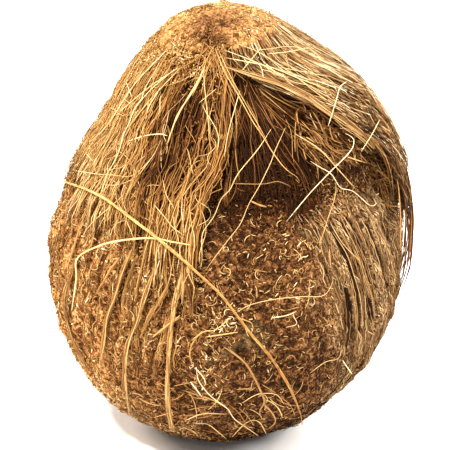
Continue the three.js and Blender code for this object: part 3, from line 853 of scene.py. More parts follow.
def tuft_bed(material):
    """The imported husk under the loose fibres: the cut crown, the sheet and the layer in its parting."""
    columns, rows = 240, 60
    azimuth = np.linspace(-180, 180, columns, endpoint=False)
    share = np.linspace(0, 1, rows)[:, None]
    hem = fibre_hem(azimuth) + 2 * np.sin(np.radians(azimuth) * 11) + 1.5 * np.sin(np.radians(azimuth) * 29)
    covered = sheet_share(azimuth, np.full((1, 1), 88.0))[0]
    low = lerp(UNDER_HEM - 3 + 0 * hem, hem + 7, covered)
    height = lerp(143.6, low, share ** 1.3)
    combed = sheet_share(azimuth, height)
    streak = np.cos(np.radians(azimuth) * 60) * smoothstep(share, 0.2, 0.4)
    on_sheet = tuft_point(azimuth, height, -2.2 + 0.4 * streak)
    on_under = under_point(azimuth, height, -0.4 + 0.3 * streak)
    rings = lerp(on_under, on_sheet, combed[..., None])
    cut_crown = smoothstep(height - hub_height(azimuth), -4, 2)
    rings = lerp(rings, tuft_point(azimuth, height, 0.1), cut_crown[..., None])
    rings = lerp(rings, on_nut(azimuth, height, -0.6), smoothstep(share, 0.93, 1)[..., None])
    rough = 0.45 * Ripple(2.2, seed=8)(rings) + 0.5 * Ripple(6, seed=9)(rings)
    rings += (rough * cut_crown)[..., None] * unit(rings - np.array([0, 0, BELLY_HEIGHT]))
    top = rings[0].mean(0, keepdims=True)
    bottom = np.array([[BELLY_SHIFT, 0, 80]])
    closed_ball("tuft_bed", rings, top, bottom, material, TUFT)


# A random number of each lock for its bend, length, bulge, tone and grip
lock_noise = np.random.default_rng(5).normal(0, 1, (5, LOCKS + 2))
bend = Ripple(13, seed=6)
kink = Ripple(5, seed=7)
clump = Ripple(1.7, seed=10)


def clumped(place, down):
    """Where the fibres of the sheet lie thick (towards 1) and where they part (towards -1)."""
    spots = np.stack(np.broadcast_arrays(place * 330, down * 28, 0 * place), -1)
    return np.clip(1.3 * clump(spots), -1, 1)


def recess(place, height):
    """The hollow beside the last lock, under the crown, where the fibres sink and are darkened as painted
    shade.
    """
    return np.exp(-((place - 0.95) / 0.028) ** 2) * smoothstep(height, 90, 106)


def thin_share(place):
    """1 on the full side, where the sheet is thin and its fibres are apart, and 0 round the rest."""
    return 1 - smoothstep(place, 0.2, 0.3)


def slack(place, down):
    """How far the sheet sinks under its packed form, on the full side and on the steep left side."""
    return (1.3 * thin_share(place) * (1 - smoothstep(down, 0.12, 0.4))
            + 1.2 * np.exp(-((place - 0.77) / 0.07) ** 2 - ((down - 0.45) / 0.2) ** 2))


def golden_share(place):
    return smoothstep(place, 0.42, 0.85)


def cut_short(place):
    """How much shorter than the sheet its fibres are, on the left and beside the parting."""
    short = 0.2 * smoothstep(place, 0.55, 0.7) * (1 - smoothstep(place, 0.9, 0.96))
    return short + 0.13 * smoothstep(place, 0.92, 0.97)


def gathered(rng, place, lock, down, gather, loose, parted):
    """How far round the sheet each joint lies: drawn to the middle of its lock, and into clumps."""
    number = lock.astype(int)
    centre = (lock + 0.4 * lock_noise[0][number] * smoothstep(down, 0.2, 1)) / LOCKS
    drift = loose * 0.006 * rng.normal(0, 1, place.shape) * (down - 0.1)
    strength = gather * (0.8 + 0.2 * lock_noise[4][number])
    path = lerp(place, centre, strength * smoothstep(down, 0.1, 0.9)) + drift
    thicker = clumped(path + 0.0008, down) - clumped(path - 0.0008, down)
    pull = 0.0019 * (1 + 0.7 * thin_share(place)) * parted * thicker * smoothstep(down, 0.02, 0.15)
    return np.clip(path + pull, -0.004, 1.004)


def sheet_tone_and_light(place, down):
    """How much paler the sheet's fibres are than SHEET_TONES says, by how far round and down they lie:
    partly their own tone, partly painted light on the far left and the full side's edge and painted shade
    in the left's middle.
    """
    thin = thin_share(place)
    lit = 0.07 * smoothstep(place, 0.66, 0.72) - 0.08 * smoothstep(place, 0.78, 0.84)
    lit = lit - 0.15 * smoothstep(place, 0.83, 0.93)
    lit = lit + 0.2 * thin * (1 - smoothstep(down, 0.04, 0.22))
    lit = lit + 0.14 * thin * smoothstep(place, 0.05, 0.14)
    lit = lit + smoothstep(place, 0.72, 0.8) * (0.22 * smoothstep(down, 0.5, 0.85) - 0.03)
    return lit + 0.14 * thin * smoothstep(down, 0.35, 0.65) * smoothstep(place, 0.03, 0.1)


def sheet_batch(rng, count, places, start=(-0.04, 0.2), end=(0.7, 1.08), lift=(0, 1), width=(0.25, 0.5),
                tone=0.0, spread=0.15, gather=0.8, sway=1.0, joints=10, parted=1.0, paler=0.0):
    """Fibres of the combed sheet, gathered into locks and finer clumps towards the hem."""
    place = rng.uniform(*places, (count, 1))
    lock = np.clip(np.round(place * LOCKS + rng.normal(0, 0.3, (count, 1))), 0, LOCKS)
    number = lock.astype(int)
    along = np.linspace(0, 1, joints)[None]
    down = lerp(rng.uniform(*start, (count, 1)), rng.uniform(*end, (count, 1)), along)
    down = down * (1 - cut_short(place))
    thin = thin_share(place)
    loose = sway * (1 + 1.5 * thin)
    path = gathered(rng, place, lock, down, gather, loose, parted)
    height = fan_height(path, down, 4 * lock_noise[1][number] * smoothstep(down, 0, 1))
    height = np.minimum(height, HIGHEST_FIBRE)
    azimuth = fan_azimuth(path, height)
    azimuth = azimuth + 7 * smoothstep(path, 0.945, 0.985) * np.exp(-((height - 112) / 16) ** 2)
    point = tuft_point(azimuth, height)

    # Waves along each fibre
    wave = rng.normal(0, 0.4, (count, 1)) * np.sin(
        2 * math.pi * (rng.uniform(1, 3, (count, 1)) * along + rng.random((count, 1))))
    wave = wave + rng.normal(0, 0.14, (count, joints))
    shift = (0.5 * bend(point) + 0.25 * kink(point) + loose * wave) * smoothstep(down, 0.03, 0.3)
    azimuth = azimuth + np.degrees(shift / tuft_radius(azimuth, height))

    # How far it stands off the tuft, and how it settles on the nut at the hem
    off_centre = np.clip(np.abs(place - lock / LOCKS) * LOCKS * 1.6, 0, 1)
    thick = clumped(path, down) * parted * smoothstep(down, 0.02, 0.2)
    bulge = (0.7 + 0.5 * lock_noise[2][number]) * (1 - off_centre ** 2) * smoothstep(down, 0.08, 0.4)
    layer = rng.uniform(*lift, (count, 1)) + rng.normal(0, 0.15, (count, joints))
    worn = np.exp(-(np.linalg.norm(point - cast([WORN_PATCH], 0), axis=-1) / 7) ** 2)
    stands = layer + bulge + 0.85 * thick - 0.8 - (1.9 * recess(path, height) + 0.8 * worn) * parted
    stands = (stands - slack(place, down)) * smoothstep(down, -0.04, 0.06)
    settled = smoothstep(down, 0.72, 0.98) * smoothstep(place, 0.03, 0.12)
    routes = lerp(tuft_point(azimuth, height, stands), on_nut(azimuth, height, 0.7 + 0.5 * stands),
                  settled[..., None])

    # Its tone, dark to pale, and its tint, grey to gold, with painted light and shade among the terms below
    shade = (tone + np.interp(place, *SHEET_TONES.T) + sheet_tone_and_light(place, down) + paler * thin
             + 0.06 * lock_noise[3][number] + spread * (1 + thin) * rng.normal(0, 1, (count, 1))
             # painted light on the clumps and painted shade in the gaps between them; next, painted shade
             # off the middle of each lock, in the recess and in the full side's gaps
             + (0.2 + 0.2 * thin) * np.minimum(thick, 0.5)
             - 0.1 * off_centre ** 2 * smoothstep(down, 0, 0.3)
             - (0.14 + 0.2 * parted) * recess(path, height) - 0.12 * worn - 0.2 * thin * (1 - thick)
             # darker along the sheet's edge at the parting, and darker still low under the arch as painted
             # shade
             - (1 - smoothstep(path, 0.02, 0.06)) * (0.1 + 0.12 * (1 - smoothstep(height, 100, 114)))
             + 0.05 * np.sin(6 * along + 6 * rng.random((count, 1))))
    tint = 0.58 + 0.4 * golden_share(place) + rng.normal(0, 0.1, (count, 1))
    tint = tint[:, 0] - 0.35 * np.clip(shade.mean(1) - 0.42, 0, 0.5) - 0.15 * thin[:, 0]
    return {"routes": routes, "width": rng.uniform(*width, count), "tone": shade, "tint": tint}


def crumb_mesh(name, rng, root, core, length, width, tone, tint, material):
    """Short blunt crumbs that lie about their roots. They lie flat on what faces away from the point of
    the axis at the height `core`."""
    count = len(root)
    outward = unit(root - np.array([0, 0, core]))
    lie = rng.normal(0, 1, (count, 3))
    lie = unit(lie - 0.8 * outward * (lie * outward).sum(-1, keepdims=True))
    tip = root + rng.uniform(*length, (count, 1)) * lie
    fibre_mesh(name, [{
        "routes": np.stack([root, tip], 1), "width": rng.uniform(*width, count),
        "tone": tone[:, None], "tint": tint, "tip": 0.8}], material, TUFT)


def pith(rng, count, material):
    """Crumbs of pith left all over the tuft, between its fibres."""
    place = rng.uniform(0, 1, count) ** 0.8
    down = np.where(rng.random(count) < 0.3, rng.uniform(-0.02, 0.2, count), rng.uniform(0.1, 0.9, count))
    height = np.minimum(fan_height(place, down), HIGHEST_FIBRE)
    azimuth = fan_azimuth(place, height)
    thick = clumped(place, down)
    root = tuft_point(azimuth, height, rng.uniform(-0.9, 0.3, count) + 0.5 * thick - slack(place, down))
    # lighter on the clumps and darker between them and in the recess, as painted light and shade
    tone = 0.38 + 0.14 * thick - 0.3 * recess(place, height) - 0.1 * (place < 0.16)
    tone = tone + rng.normal(0, 0.11, count)
    tint = 0.7 + 0.25 * golden_share(place) + rng.normal(0, 0.08, count)
    crumb_mesh("pith", rng, root, 80, (0.5, 1.5), (0.3, 0.7), tone, tint, material)


def hem_crumbs(rng, count, material):
    """Crumbs of felt that blur the hem of the tuft into the nut, all round and in the parting."""
    azimuth = rng.uniform(-180, 180, count)
    left, right = PARTING[0] - 3, PARTING[1] + 4
    azimuth = np.where(rng.random(count) < 0.35, rng.uniform(left, right, count), azimuth)
    parting = (azimuth > left) & (azimuth < right)
    hem = fibre_hem(azimuth)
    height = np.where(parting, rng.triangular(84, 97, 115, count), hem + rng.normal(6, 5, count))
    lift = rng.uniform(-0.3, 0.8, count)
    on_hem = lerp(on_nut(azimuth, height, lift + 0.8), tuft_point(azimuth, height, lift - 0.9),
                  smoothstep(height, hem + 2, hem + 16)[:, None])
    root = np.where(parting[:, None], under_point(azimuth, height, lift), on_hem)
    tone, tint = felt_shade(root)
    # darker in the parting, as painted shade of its depth
    tone = tone + rng.normal(0, 0.17, count) - 0.08 * parting
    tint = tint + 0.2 * parting + rng.normal(0, 0.1, count)
    crumb_mesh("hem_crumbs", rng, root, 60, (0.6, 1.8), (0.25, 0.6), tone, tint, material)


def sheet_pieces(rng, material):
    """The sheet in three pieces, each of packed fibres, combed ones, looser ones and stray ones on top."""
    regions = {"right": ((0.0, 0.28), 880), "back": ((0.28, 0.7), 640), "left": ((0.7, 1.0), 1000)}
    for side, (places, count) in regions.items():
        # the packed batch is set darker and the upper ones paler, as painted shade and light by depth in
        # the pile
        fibre_mesh(f"sheet_{side}", [
            sheet_batch(rng, count // 3, places, end=(0.8, 1.0), lift=(-1.4, -0.5), width=(0.5, 1.1),
                        tone=-0.18, spread=0.07, joints=7),
            sheet_batch(rng, count, places, lift=(-0.9, 0.4), width=(0.28, 0.55), spread=0.12),
            sheet_batch(rng, count // 2, places, start=(-0.12, 0.2), lift=(-0.2, 0.9), width=(0.2, 0.44),
                        tone=0.3, spread=0.13, gather=0.6, sway=1.6, joints=12, paler=0.2),
            sheet_batch(rng, count // 5, places, start=(-0.02, 0.5), lift=(0.5, 1.5), width=(0.2, 0.36),
                        tone=0.44, spread=0.1, gather=0.2, sway=3.2, joints=12, parted=0.2, paler=0.08),
        ], material, TUFT)


def parting_fibres(rng, material):
    """The shorter layer in the parting: brown fibres fanned out from the hub, their tones set low as
    painted shade of the deep parting.
    """
    def batch(count, lift, width, tone, tint, hem, sway):
        landing = lerp(PARTING[0] - 4, PARTING[1] + 6, rng.random((count, 1)) ** 0.75)
        phase = 2 * math.pi * landing / 6.5 + 1.5 * np.sin(0.23 * landing)
        landing = landing - 0.7 * np.sin(phase)
        bundle = np.cos(phase)
        along = np.linspace(rng.uniform(0, 0.35, count), rng.uniform(0.75, 1.05, count), 10).T
        height = lerp(131, rng.uniform(*hem, (count, 1)), along)
        launch = -80 + rng.normal(0, 7, (count, 1))
        azimuth = lerp(launch, landing, smoothstep(along, -0.3, 0.9))
        azimuth = azimuth + sway * rng.normal(0, 1, (count, 1)) * np.sin(
            math.pi * along * rng.uniform(0.6, 2, (count, 1)))
        point = under_point(azimuth, height)
        azimuth = azimuth + np.degrees((0.6 * bend(point) + 0.3 * kink(point)) / 50)
        rise = rng.uniform(*lift, (count, 1)) + 1.4 * rng.random((count, 1)) * smoothstep(along, 0.75, 1)
        rise = rise + 0.6 * bundle * smoothstep(along, 0.1, 0.4)
        early = 1.4 * (1 - smoothstep(along, 0, 0.5))
        # paler on the raised bundles and darker between them, as painted light and shade; paler towards the
        # left end
        shade = 0.1 * bend(point * 1.7) + 0.2 * bundle + 0.15 * (1 - smoothstep(azimuth, -90, -74))
        return {"routes": under_point(azimuth, height, rise + early), "width": rng.uniform(*width, count),
                "tone": rng.normal(tone, 0.14, (count, 1)) + shade, "tint": rng.normal(tint, 0.08, count)}

    fibre_mesh("parting_fibres", [
        batch(480, (-0.6, 0.6), (0.3, 0.75), -0.36, 0.97, (94, 108), 1.5),
        batch(260, (0.2, 1.6), (0.22, 0.42), -0.27, 0.95, (92, 110), 3),
        batch(130, (0.6, 2.2), (0.22, 0.36), 0.08, 0.85, (90, 112), 4),
    ], material, TUFT)


def crown_stubs(rng, count, material):
    """Short chopped fibre ends over the cut crown, with one browner patch."""
    azimuth = rng.uniform(-180, 180, count * 2)
    height = CROWN_HEIGHT - 22 * rng.random(count * 2) ** 1.1
    combed_over = smoothstep(azimuth, -98, -84) * (1 - smoothstep(azimuth, 60, 100))
    reach = lerp(rng.uniform(1, 12, count * 2), rng.uniform(-5, 1, count * 2), combed_over)
    kept = height > hub_height(azimuth) - reach
    azimuth, height = azimuth[kept][:count], height[kept][:count]
    count = len(azimuth)
    root = tuft_point(azimuth, height, rng.uniform(-0.2, 0.35, count))
    from_patch = np.linalg.norm(root - cast([CROWN_PATCH], 0), axis=1) + 2 * lump(root)
    browner = 1 - smoothstep(from_patch, 3, 14)
    tone = 0.64 + 0.1 * Ripple(4, seed=12)(root) - 0.31 * browner + rng.normal(0, 0.13, count)
    tint = 0.95 - 0.6 * smoothstep(azimuth, -110, -30) - 0.25 * browner + rng.normal(0, 0.08, count)
    crumb_mesh("crown_stubs", rng, root, 112, (0.5, 1.5), (0.28, 0.6), tone, tint, material)


def fringe_fibres(rng, count, material):
    """Loose fibres that hang past the hem on the full side, clear of the nut."""
    azimuth = rng.normal(0, 9, (count, 1))
    along = np.linspace(0, 1, 14)[None]
    height = lerp(106, rng.uniform(44, 70, (count, 1)), along)
    turned = azimuth - 5 * (1 - smoothstep(height, 80, 106)) + 3 + rng.normal(0, 3.5, (count, 1)) * along
    turned = turned + rng.normal(0, 2, (count, 1)) * np.sin(
        rng.uniform(3, 9, (count, 1)) * along + 6 * rng.random((count, 1)))
    hang = rng.uniform(-2.8, 0.2, (count, 1)) * smoothstep(along, 0.2, 0.6)
    hang = hang + rng.normal(0, 0.35, (count, 1)) * np.sin(7 * along + 6 * rng.random((count, 1)))
    routes = tuft_point(turned, height, hang - 2.2 * (1 - smoothstep(height, 42, 60)))
    fibre_mesh("fringe", [{
        "routes": routes, "width": rng.uniform(0.45, 0.85, count),
        "tone": rng.normal(0.36, 0.12, (count, 1)), "tint": rng.normal(0.95, 0.05, count)}],
        material, TUFT)


def loose_strand(rng, points, joints, lift, width, tone, tint, fade=0.0):
    """One thin strand over points of the view, with the rest drawn from these ranges."""
    return {
        "routes": view_route(points, rng.uniform(*lift), joints)[None],
        "width": rng.uniform(*width),
        "tone": rng.uniform(*tone) - np.linspace(0, fade, joints)[None],
        "tint": rng.uniform(*tint),
    }


# Flat bundles that run down the nut from the hem: points of the view, and width
STRAPS = [
    ([(76, 258), (70, 276), (66, 292), (65, 313), (73, 342), (88, 370)], 0.9),
    ([(90, 197), (84, 216), (79, 232), (70, 258)], 0.5),
    ([(98, 208), (94, 226), (92, 242), (84, 254)], 0.45),
    ([(120, 258), (111, 270), (103, 283), (97, 292)], 0.6),
    ([(131, 250), (122, 275), (115, 298), (107, 318), (103, 342), (101, 366)], 1.1),
    ([(138, 255), (127, 282), (122, 302)], 0.5),
    ([(147, 247), (143, 262), (140, 275), (135, 295)], 0.5),
    ([(156, 262), (147, 292), (137, 322), (128, 343), (125, 366), (126, 392), (132, 416)], 1.1),
    ([(170, 277), (163, 295), (150, 315), (140, 338)], 0.7),
    ([(180, 317), (168, 325), (153, 337)], 0.5),
    ([(184, 262), (178, 290), (173, 315), (170, 342), (168, 372), (168, 400), (172, 430)], 1.3),
]


def strap_fibres(rng, material):
    """Each strap is a flat core with finer fibres along it."""
    batches = []
    for points, width in STRAPS:
        points = np.array(points, float)
        joints = 5 * len(points)
        sunk = 0.35 * np.sin(np.linspace(0, 2.4 * len(points), joints) + rng.uniform(0, 6))
        batches.append({
            "routes": view_route(points, 0.55 + sunk, joints)[None], "width": 0.8 * width,
            "tone": 0.5 + rng.normal(0, 0.07, (1, joints)), "tint": 0.7, "flat": 0.55, "sides": 5})
        for _ in range(round(11 * width)):
            shift = [rng.normal(0, 1.2 * width, len(points)), rng.normal(0, 1, len(points))]
            batches.append(loose_strand(rng, points + np.stack(shift, -1), joints, lift=(0.5, 1.2),
                                        width=(0.2, 0.4), tone=(0.34, 0.78), tint=(0.65, 0.9)))
    fibre_mesh("straps", batches, material, TUFT)


# Loose strands that are placed one by one: points of the view, width, lift, tone and tint
STRAYS = [
    ([(63, 181), (100, 196), (140, 225), (172, 250), (200, 275), (221, 295), (239, 318), (251, 334),
      (269, 355), (282, 374), (291, 391), (300, 413), (302, 424)], 1.6, 2.3, 0.56, 0.95),
    ([(72, 311), (75, 279), (77, 258), (98, 246), (120, 240), (150, 238), (170, 241),
      (190, 245)], 1.35, 1.8, 0.86, 0.7),
    ([(345, 134), (351, 137), (354, 142), (349, 152), (329, 174), (309, 195),
      (287, 221)], 0.62, 1.6, 0.97, 0.35),
    ([(271, 129), (257, 149), (238, 173), (230, 189), (221, 199), (214, 216), (204, 231), (202, 241),
      (202, 260), (200, 270)], 0.55, 1.8, 0.86, 0.6),
    ([(286, 128), (275, 152), (270, 162), (259, 184), (249, 204), (240, 224), (229, 240), (214, 258),
      (205, 270)], 0.5, 1.5, 0.82, 0.55),
    ([(379, 120), (372, 134), (361, 152)], 0.6, 2.4, 0.92, 0.5),
    ([(347, 81), (340, 88), (337, 97), (332, 115), (328, 126)], 0.65, 2.6, 0.94, 0.5),
    ([(311, 161), (319, 167), (330, 175), (341, 188), (352, 191), (370, 205), (375, 204),
      (374, 199)], 0.6, 1.6, 0.95, 0.45),
    ([(215, 48), (225, 71), (240, 97), (253, 120), (262, 136), (273, 153), (285, 168),
      (297, 177)], 0.85, 1.4, 0.68, 0.75),
    ([(219, 50), (231, 76), (246, 103), (258, 126), (268, 143)], 0.6, 1.3, 0.7, 0.7),
    ([(295, 134), (319, 148), (335, 166), (355, 188)], 0.7, 1.2, 0.8, 0.5),
    ([(336, 182), (334, 195), (327, 219), (320, 246)], 0.65, 1.6, 0.7, 0.75),
    ([(234, 184), (262, 184), (278, 181), (291, 186)], 0.5, 0.6, 0.6, 0.4),
    ([(166, 51), (135, 84), (107, 124), (90, 142)], 0.85, 1.2, 0.93, 0.7),
    ([(174, 70), (151, 89), (132, 110)], 0.7, 1.2, 0.9, 0.7),
    ([(205, 66), (195, 87), (179, 112), (172, 128), (166, 150)], 0.8, 1.3, 0.88, 0.65),
    ([(203, 71), (207, 97), (210, 134)], 0.55, 1.3, 0.85, 0.6),
    ([(261, 48), (242, 71)], 0.5, 1.8, 0.9, 0.5),
    ([(240, 91), (234, 112), (228, 134), (224, 156)], 0.55, 1.5, 0.85, 0.55),
    ([(216, 89), (200, 102)], 0.45, 1.4, 0.85, 0.6),
    ([(127, 141), (146, 135), (160, 134), (167, 136)], 0.75, 1.5, 0.95, 0.6),
    ([(75, 170), (97, 175), (114, 175), (129, 177), (139, 171), (152, 158),
      (160, 140)], 0.5, 1.4, 0.9, 0.6),
    ([(101, 185), (119, 184), (137, 175), (150, 160)], 0.45, 1.5, 0.88, 0.6),
    ([(86, 154), (93, 161)], 0.45, 1.4, 0.9, 0.6),
    ([(155, 205), (165, 217), (172, 227), (183, 236)], 0.5, 1.6, 0.85, 0.7),
    ([(126, 82), (131, 97)], 0.5, 1.4, 0.92, 0.6),
    ([(224, 347), (235, 356), (246, 365), (254, 378), (261, 393), (264, 402), (260, 412),
      (262, 420)], 1.3, 1.2, 0.58, 0.4),
    ([(264, 404), (273, 414), (275, 422), (267, 430)], 1.1, 1.2, 0.58, 0.4),
    ([(203, 330), (193, 342), (190, 353), (192, 366)], 0.8, 1.2, 0.66, 0.85),
    ([(185, 420), (203, 414), (227, 414)], 0.8, 1.2, 0.8, 0.8),
    ([(192, 423), (207, 423), (217, 432), (227, 440)], 0.7, 1.2, 0.85, 0.8),
    ([(183, 427), (193, 431), (198, 437)], 0.6, 1.2, 0.85, 0.8),
    ([(232, 437), (247, 423), (258, 422), (268, 437)], 0.7, 1.2, 0.82, 0.7),
    ([(240, 318), (250, 322), (253, 327)], 0.6, 1.2, 0.66, 0.7),
    ([(243, 403), (258, 395), (277, 395), (284, 405)], 0.55, 1.3, 0.82, 0.6),
    ([(233, 314), (251, 305), (279, 299), (305, 297), (320, 296), (328, 293), (332, 284),
      (333, 277)], 0.5, 1.2, 0.8, 0.35),
    ([(330, 225), (343, 244), (360, 261)], 0.55, 1.4, 0.78, 0.4),
    ([(329, 249), (330, 267)], 0.8, 1.2, 0.66, 0.4),
    ([(309, 285), (310, 299), (305, 309)], 0.45, 1.4, 0.85, 0.3),
    ([(272, 318), (287, 316), (296, 311)], 0.7, 1.3, 0.9, 0.3),
    ([(293, 316), (296, 323), (287, 328)], 0.6, 1.3, 0.88, 0.3),
    ([(311, 373), (325, 362), (339, 358), (342, 345)], 0.5, 1.2, 0.75, 0.35),
    ([(343, 361), (352, 374)], 0.8, 1.4, 0.92, 0.45),
    ([(195, 368), (198, 382), (212, 397), (227, 408), (235, 420), (250, 430),
      (262, 439)], 0.6, 1.3, 0.92, 0.6),
    ([(190, 382), (202, 397)], 0.8, 1.3, 0.97, 0.4),
    ([(195, 367), (204, 376), (206, 384)], 0.65, 1.3, 0.95, 0.4),
    ([(232, 317), (215, 330), (205, 331), (192, 340)], 0.9, 1.4, 0.72, 0.85),
    ([(206, 336), (222, 334), (238, 333)], 0.7, 1.4, 0.78, 0.8),
    ([(251, 200), (258, 204), (267, 208)], 1.4, 1.4, 0.62, 0.45),
    ([(128, 128), (150, 100), (180, 68)], 0.6, 1.3, 0.85, 0.75),
    ([(120, 112), (148, 88), (178, 68)], 0.6, 1.4, 0.9, 0.75),
    ([(174, 124), (184, 104), (204, 70)], 0.6, 1.4, 0.85, 0.7),
    ([(268, 54), (290, 51), (308, 48), (314, 52)], 0.5, 2.0, 0.9, 0.6),
    ([(238, 44), (260, 52), (290, 72), (320, 96), (356, 118)], 0.6, 1.4, 0.85, 0.6),
    ([(226, 58), (250, 62), (272, 68), (300, 79), (328, 90)], 0.7, 1.6, 0.88, 0.6),
    ([(224, 50), (260, 64), (292, 80), (312, 86)], 0.6, 1.5, 0.85, 0.6),
    ([(340, 217), (348, 232), (357, 250), (364, 275), (371, 296), (375, 318)], 0.7, 0.9, 0.62, 0.3),
    ([(333, 232), (346, 254), (355, 275), (361, 300), (364, 330)], 0.7, 0.9, 0.66, 0.4),
    ([(360, 258), (368, 280), (374, 305)], 0.6, 0.9, 0.6, 0.3),
]
THICK_STRAND = 1.5      # a strand wider than this is a bundle, with finer ones along it


def placed_strands(rng):
    batches = []
    for points, width, lift, tone, tint in STRAYS:
        joints = 6 + 4 * len(points)
        wobble = rng.normal(0, 0.5, (len(points), 2))
        fade = 0.2 if width > THICK_STRAND else 0.06
        fading = tone - 0.04 + np.linspace(fade, -0.4 * fade, joints)
        batches.append({
            "routes": view_route(points + wobble, lift + 0.5, joints)[None], "width": 0.49 * width,
            "tone": fading + rng.normal(0, 0.03, (1, joints)), "tint": tint + 0.06,
            "sides": 4, "flat": 0.85})
        if width > THICK_STRAND:
            for side in (-0.7, -0.2, 0.3, 0.8):
                beside = points + side * np.array([0.6, -0.8]) + rng.normal(0, 0.3, wobble.shape)
                fading = 0.54 + np.linspace(0.26, -0.1, 2 * joints)
                batches.append({
                    "routes": view_route(beside, lift + 0.8, 2 * joints)[None], "width": 0.3,
                    "tone": fading + rng.normal(0, 0.1, (1, 2 * joints)), "tint": tint})
    return batches


def hub_strands(rng):
    """Strands that fan down out of the hub."""
    batches = []
    for _ in range(44):
        heading = rng.uniform(0.7, 2.8)
        reach = np.linspace(0, rng.uniform(16, 64), 5)[:, None]
        turn = heading + rng.normal(0, 0.2) * np.linspace(0, 1, 5)[:, None]
        points = HUB + rng.normal(0, (8, 4)) + reach * np.hstack([np.cos(turn), np.sin(turn)])
        batches.append(loose_strand(rng, points, 12, lift=(0.7, 1.8), width=(0.2, 0.34),
                                    tone=(0.24, 0.64), tint=(0.7, 0.9)))
    return batches


def walk(rng, turn, length, across, down):
    """Points of the view along a walk with the headings `turn`, which starts somewhere in a field."""
    steps = rng.uniform(*length) / len(turn) * np.hstack([np.cos(turn), np.sin(turn)])
    return np.array([rng.uniform(*across), rng.uniform(*down)]) + np.cumsum(steps, axis=0)


def lock_strands(rng):
    """Strands that wander over the locks of the left, inside their outline."""
    batches = []
    for _ in range(50):
        heading = rng.normal(1.75, 0.5)
        along = np.linspace(0, 1, 8)[:, None]
        turn = heading + rng.normal(0, 0.5) * np.sin(rng.uniform(3, 7) * along + rng.uniform(0, 6))
        points = walk(rng, turn, (22, 70), across=(90, 215), down=(85, 215))
        if points[:, 0].min() > 92 - 0.35 * (points[:, 1].max() - 130):
            batches.append(loose_strand(rng, points, 14, lift=(1.0, 2.0), width=(0.18, 0.28),
                                        tone=(0.5, 0.88), tint=(0.6, 0.9)))
    return batches


def foot_strands(rng):
    """Strands that lie about the foot of the nut, inside its outline."""
    batches = []
    for _ in range(46):
        along = np.linspace(0, 1, 6)[:, None]
        turn = rng.normal(0.25, 0.5) + rng.normal(0, 1.1) * along
        points = walk(rng, turn, (14, 40), across=(120, 285), down=(376, 430))
        if (points[:, 1] < 436 - 34 * ((points[:, 0] - 228) / 100) ** 2).all():
            batches.append(loose_strand(rng, points, 10, lift=(0.5, 1.2), width=(0.22, 0.42),
                                        tone=(0.45, 0.85), tint=(0.7, 0.95)))
    return batches


def arch_strands(rng):
    """Strands that lie together in the arch over the parting, each along a part of it."""
    batches = []
    for _ in range(38):
        cut = rng.integers(0, 6)
        ended = min(rng.integers(7, len(ARCH) + 1, 2))
        points = np.array(ARCH[cut:ended], float)
        spread = np.linspace(0.5 + 0.4 * cut, 2, len(points))[:, None]
        points += np.array([0.5, -1]) * rng.normal(0, 1.9) * spread + rng.normal(0, 0.7, points.shape)
        batches.append(loose_strand(rng, points, 20, lift=(0.8, 2.4), width=(0.22, 0.4),
                                    tone=(0.3, 0.98), tint=(0.45, 0.7), fade=0.2))
    return batches


def shoulder_strands(rng):
    """Strands that cross the sheet on the full side, between the arch and the outline."""
    batches = []
    for _ in range(90):
        along = np.linspace(0, 1, 7)[:, None]
        turn = rng.normal(0.66, 0.28) + rng.normal(0, 0.35) * np.sin(4 * along + rng.uniform(0, 6))
        points = walk(rng, turn, (20, 66), across=(236, 350), down=(36, 112))
        below_edge = points[:, 1] > np.interp(points[:, 0], *SHOULDER_LINE)
        above_arch = points[:, 1] < np.interp(points[:, 0], *UPPER_ARCH.T) + 3
        if (below_edge & above_arch).all():
            batches.append(loose_strand(rng, points, 14, lift=(0.6, 2.0), width=(0.18, 0.32),
                                        tone=(0.45, 0.95), tint=(0.5, 0.8)))
    return batches


def stray_fibres(rng, material):
    fibre_mesh("stray_strands", [
        *placed_strands(rng), *hub_strands(rng), *lock_strands(rng), *foot_strands(rng),
        *arch_strands(rng), *shoulder_strands(rng),
    ], material, TUFT)


def worn_crumbs(rng, material):
    """Crumbs of pith over the worn patch beside the arch."""
    spots = np.array(WORN_PATCH) + rng.normal(0, (11, 9), (500, 2))
    spots = spots[spots[:, 0] < 384]
    count = len(spots)
    root = cast(spots, rng.uniform(-0.8, 0.5, count))
    crumb_mesh("worn_crumbs", rng, root, 80, (0.5, 1.6), (0.3, 0.6),
               rng.normal(0.46, 0.14, count), rng.normal(0.65, 0.1, count), material)


def tangle(rng, count, material):
    """Brown fibres matted this way and that under the arch of strands, and the worn patch beside it."""
    joints = 7
    across = rng.uniform(296, 384, count)
    under = np.interp(across, *UPPER_ARCH.T) + rng.uniform(4, 52, count)
    worn_crumbs(rng, material)
    heading = rng.normal(0.75, 0.38, (count, 1))
    heading = heading + rng.normal(0, 0.8, (count, 1)) * np.linspace(-0.5, 0.5, joints)
    step = rng.uniform(10, 46, (count, 1)) / joints
    steps = np.stack([np.cos(heading) * step, np.sin(heading) * step], -1)
    points = np.stack([across, under], -1)[:, None] + np.cumsum(steps, axis=1)
    lift = np.repeat(rng.uniform(-4.6, -1.4, count), joints)
    routes = cast(points.reshape(-1, 2), lift).reshape(count, joints, 3)
    fibre_mesh("tangle", [{
        "routes": routes, "width": rng.uniform(0.22, 0.5, count),
        "tone": rng.normal(0.32, 0.2, (count, 1)), "tint": rng.normal(0.7, 0.15, count)}],
        material, TUFT)


# ---------------------------------------------------------------- studio

# Name, azimuth, elevation, distance and size in metres, watts, and colour
LIGHTS = [
    ("key", -128, 54, 0.9, 0.12, 15, (1, 0.96, 0.88)),
    ("fill", -18, 34, 1.2, 0.5, 14, (1, 0.98, 0.95)),
    ("left rim", 170, 34, 0.9, 0.4, 6, (1, 0.97, 0.9)),
    ("right rim", 20, 40, 0.9, 0.4, 8, (1, 0.98, 0.94)),
]
SKY_STRENGTH = 0.56
FLOOR_RADIUS = 3


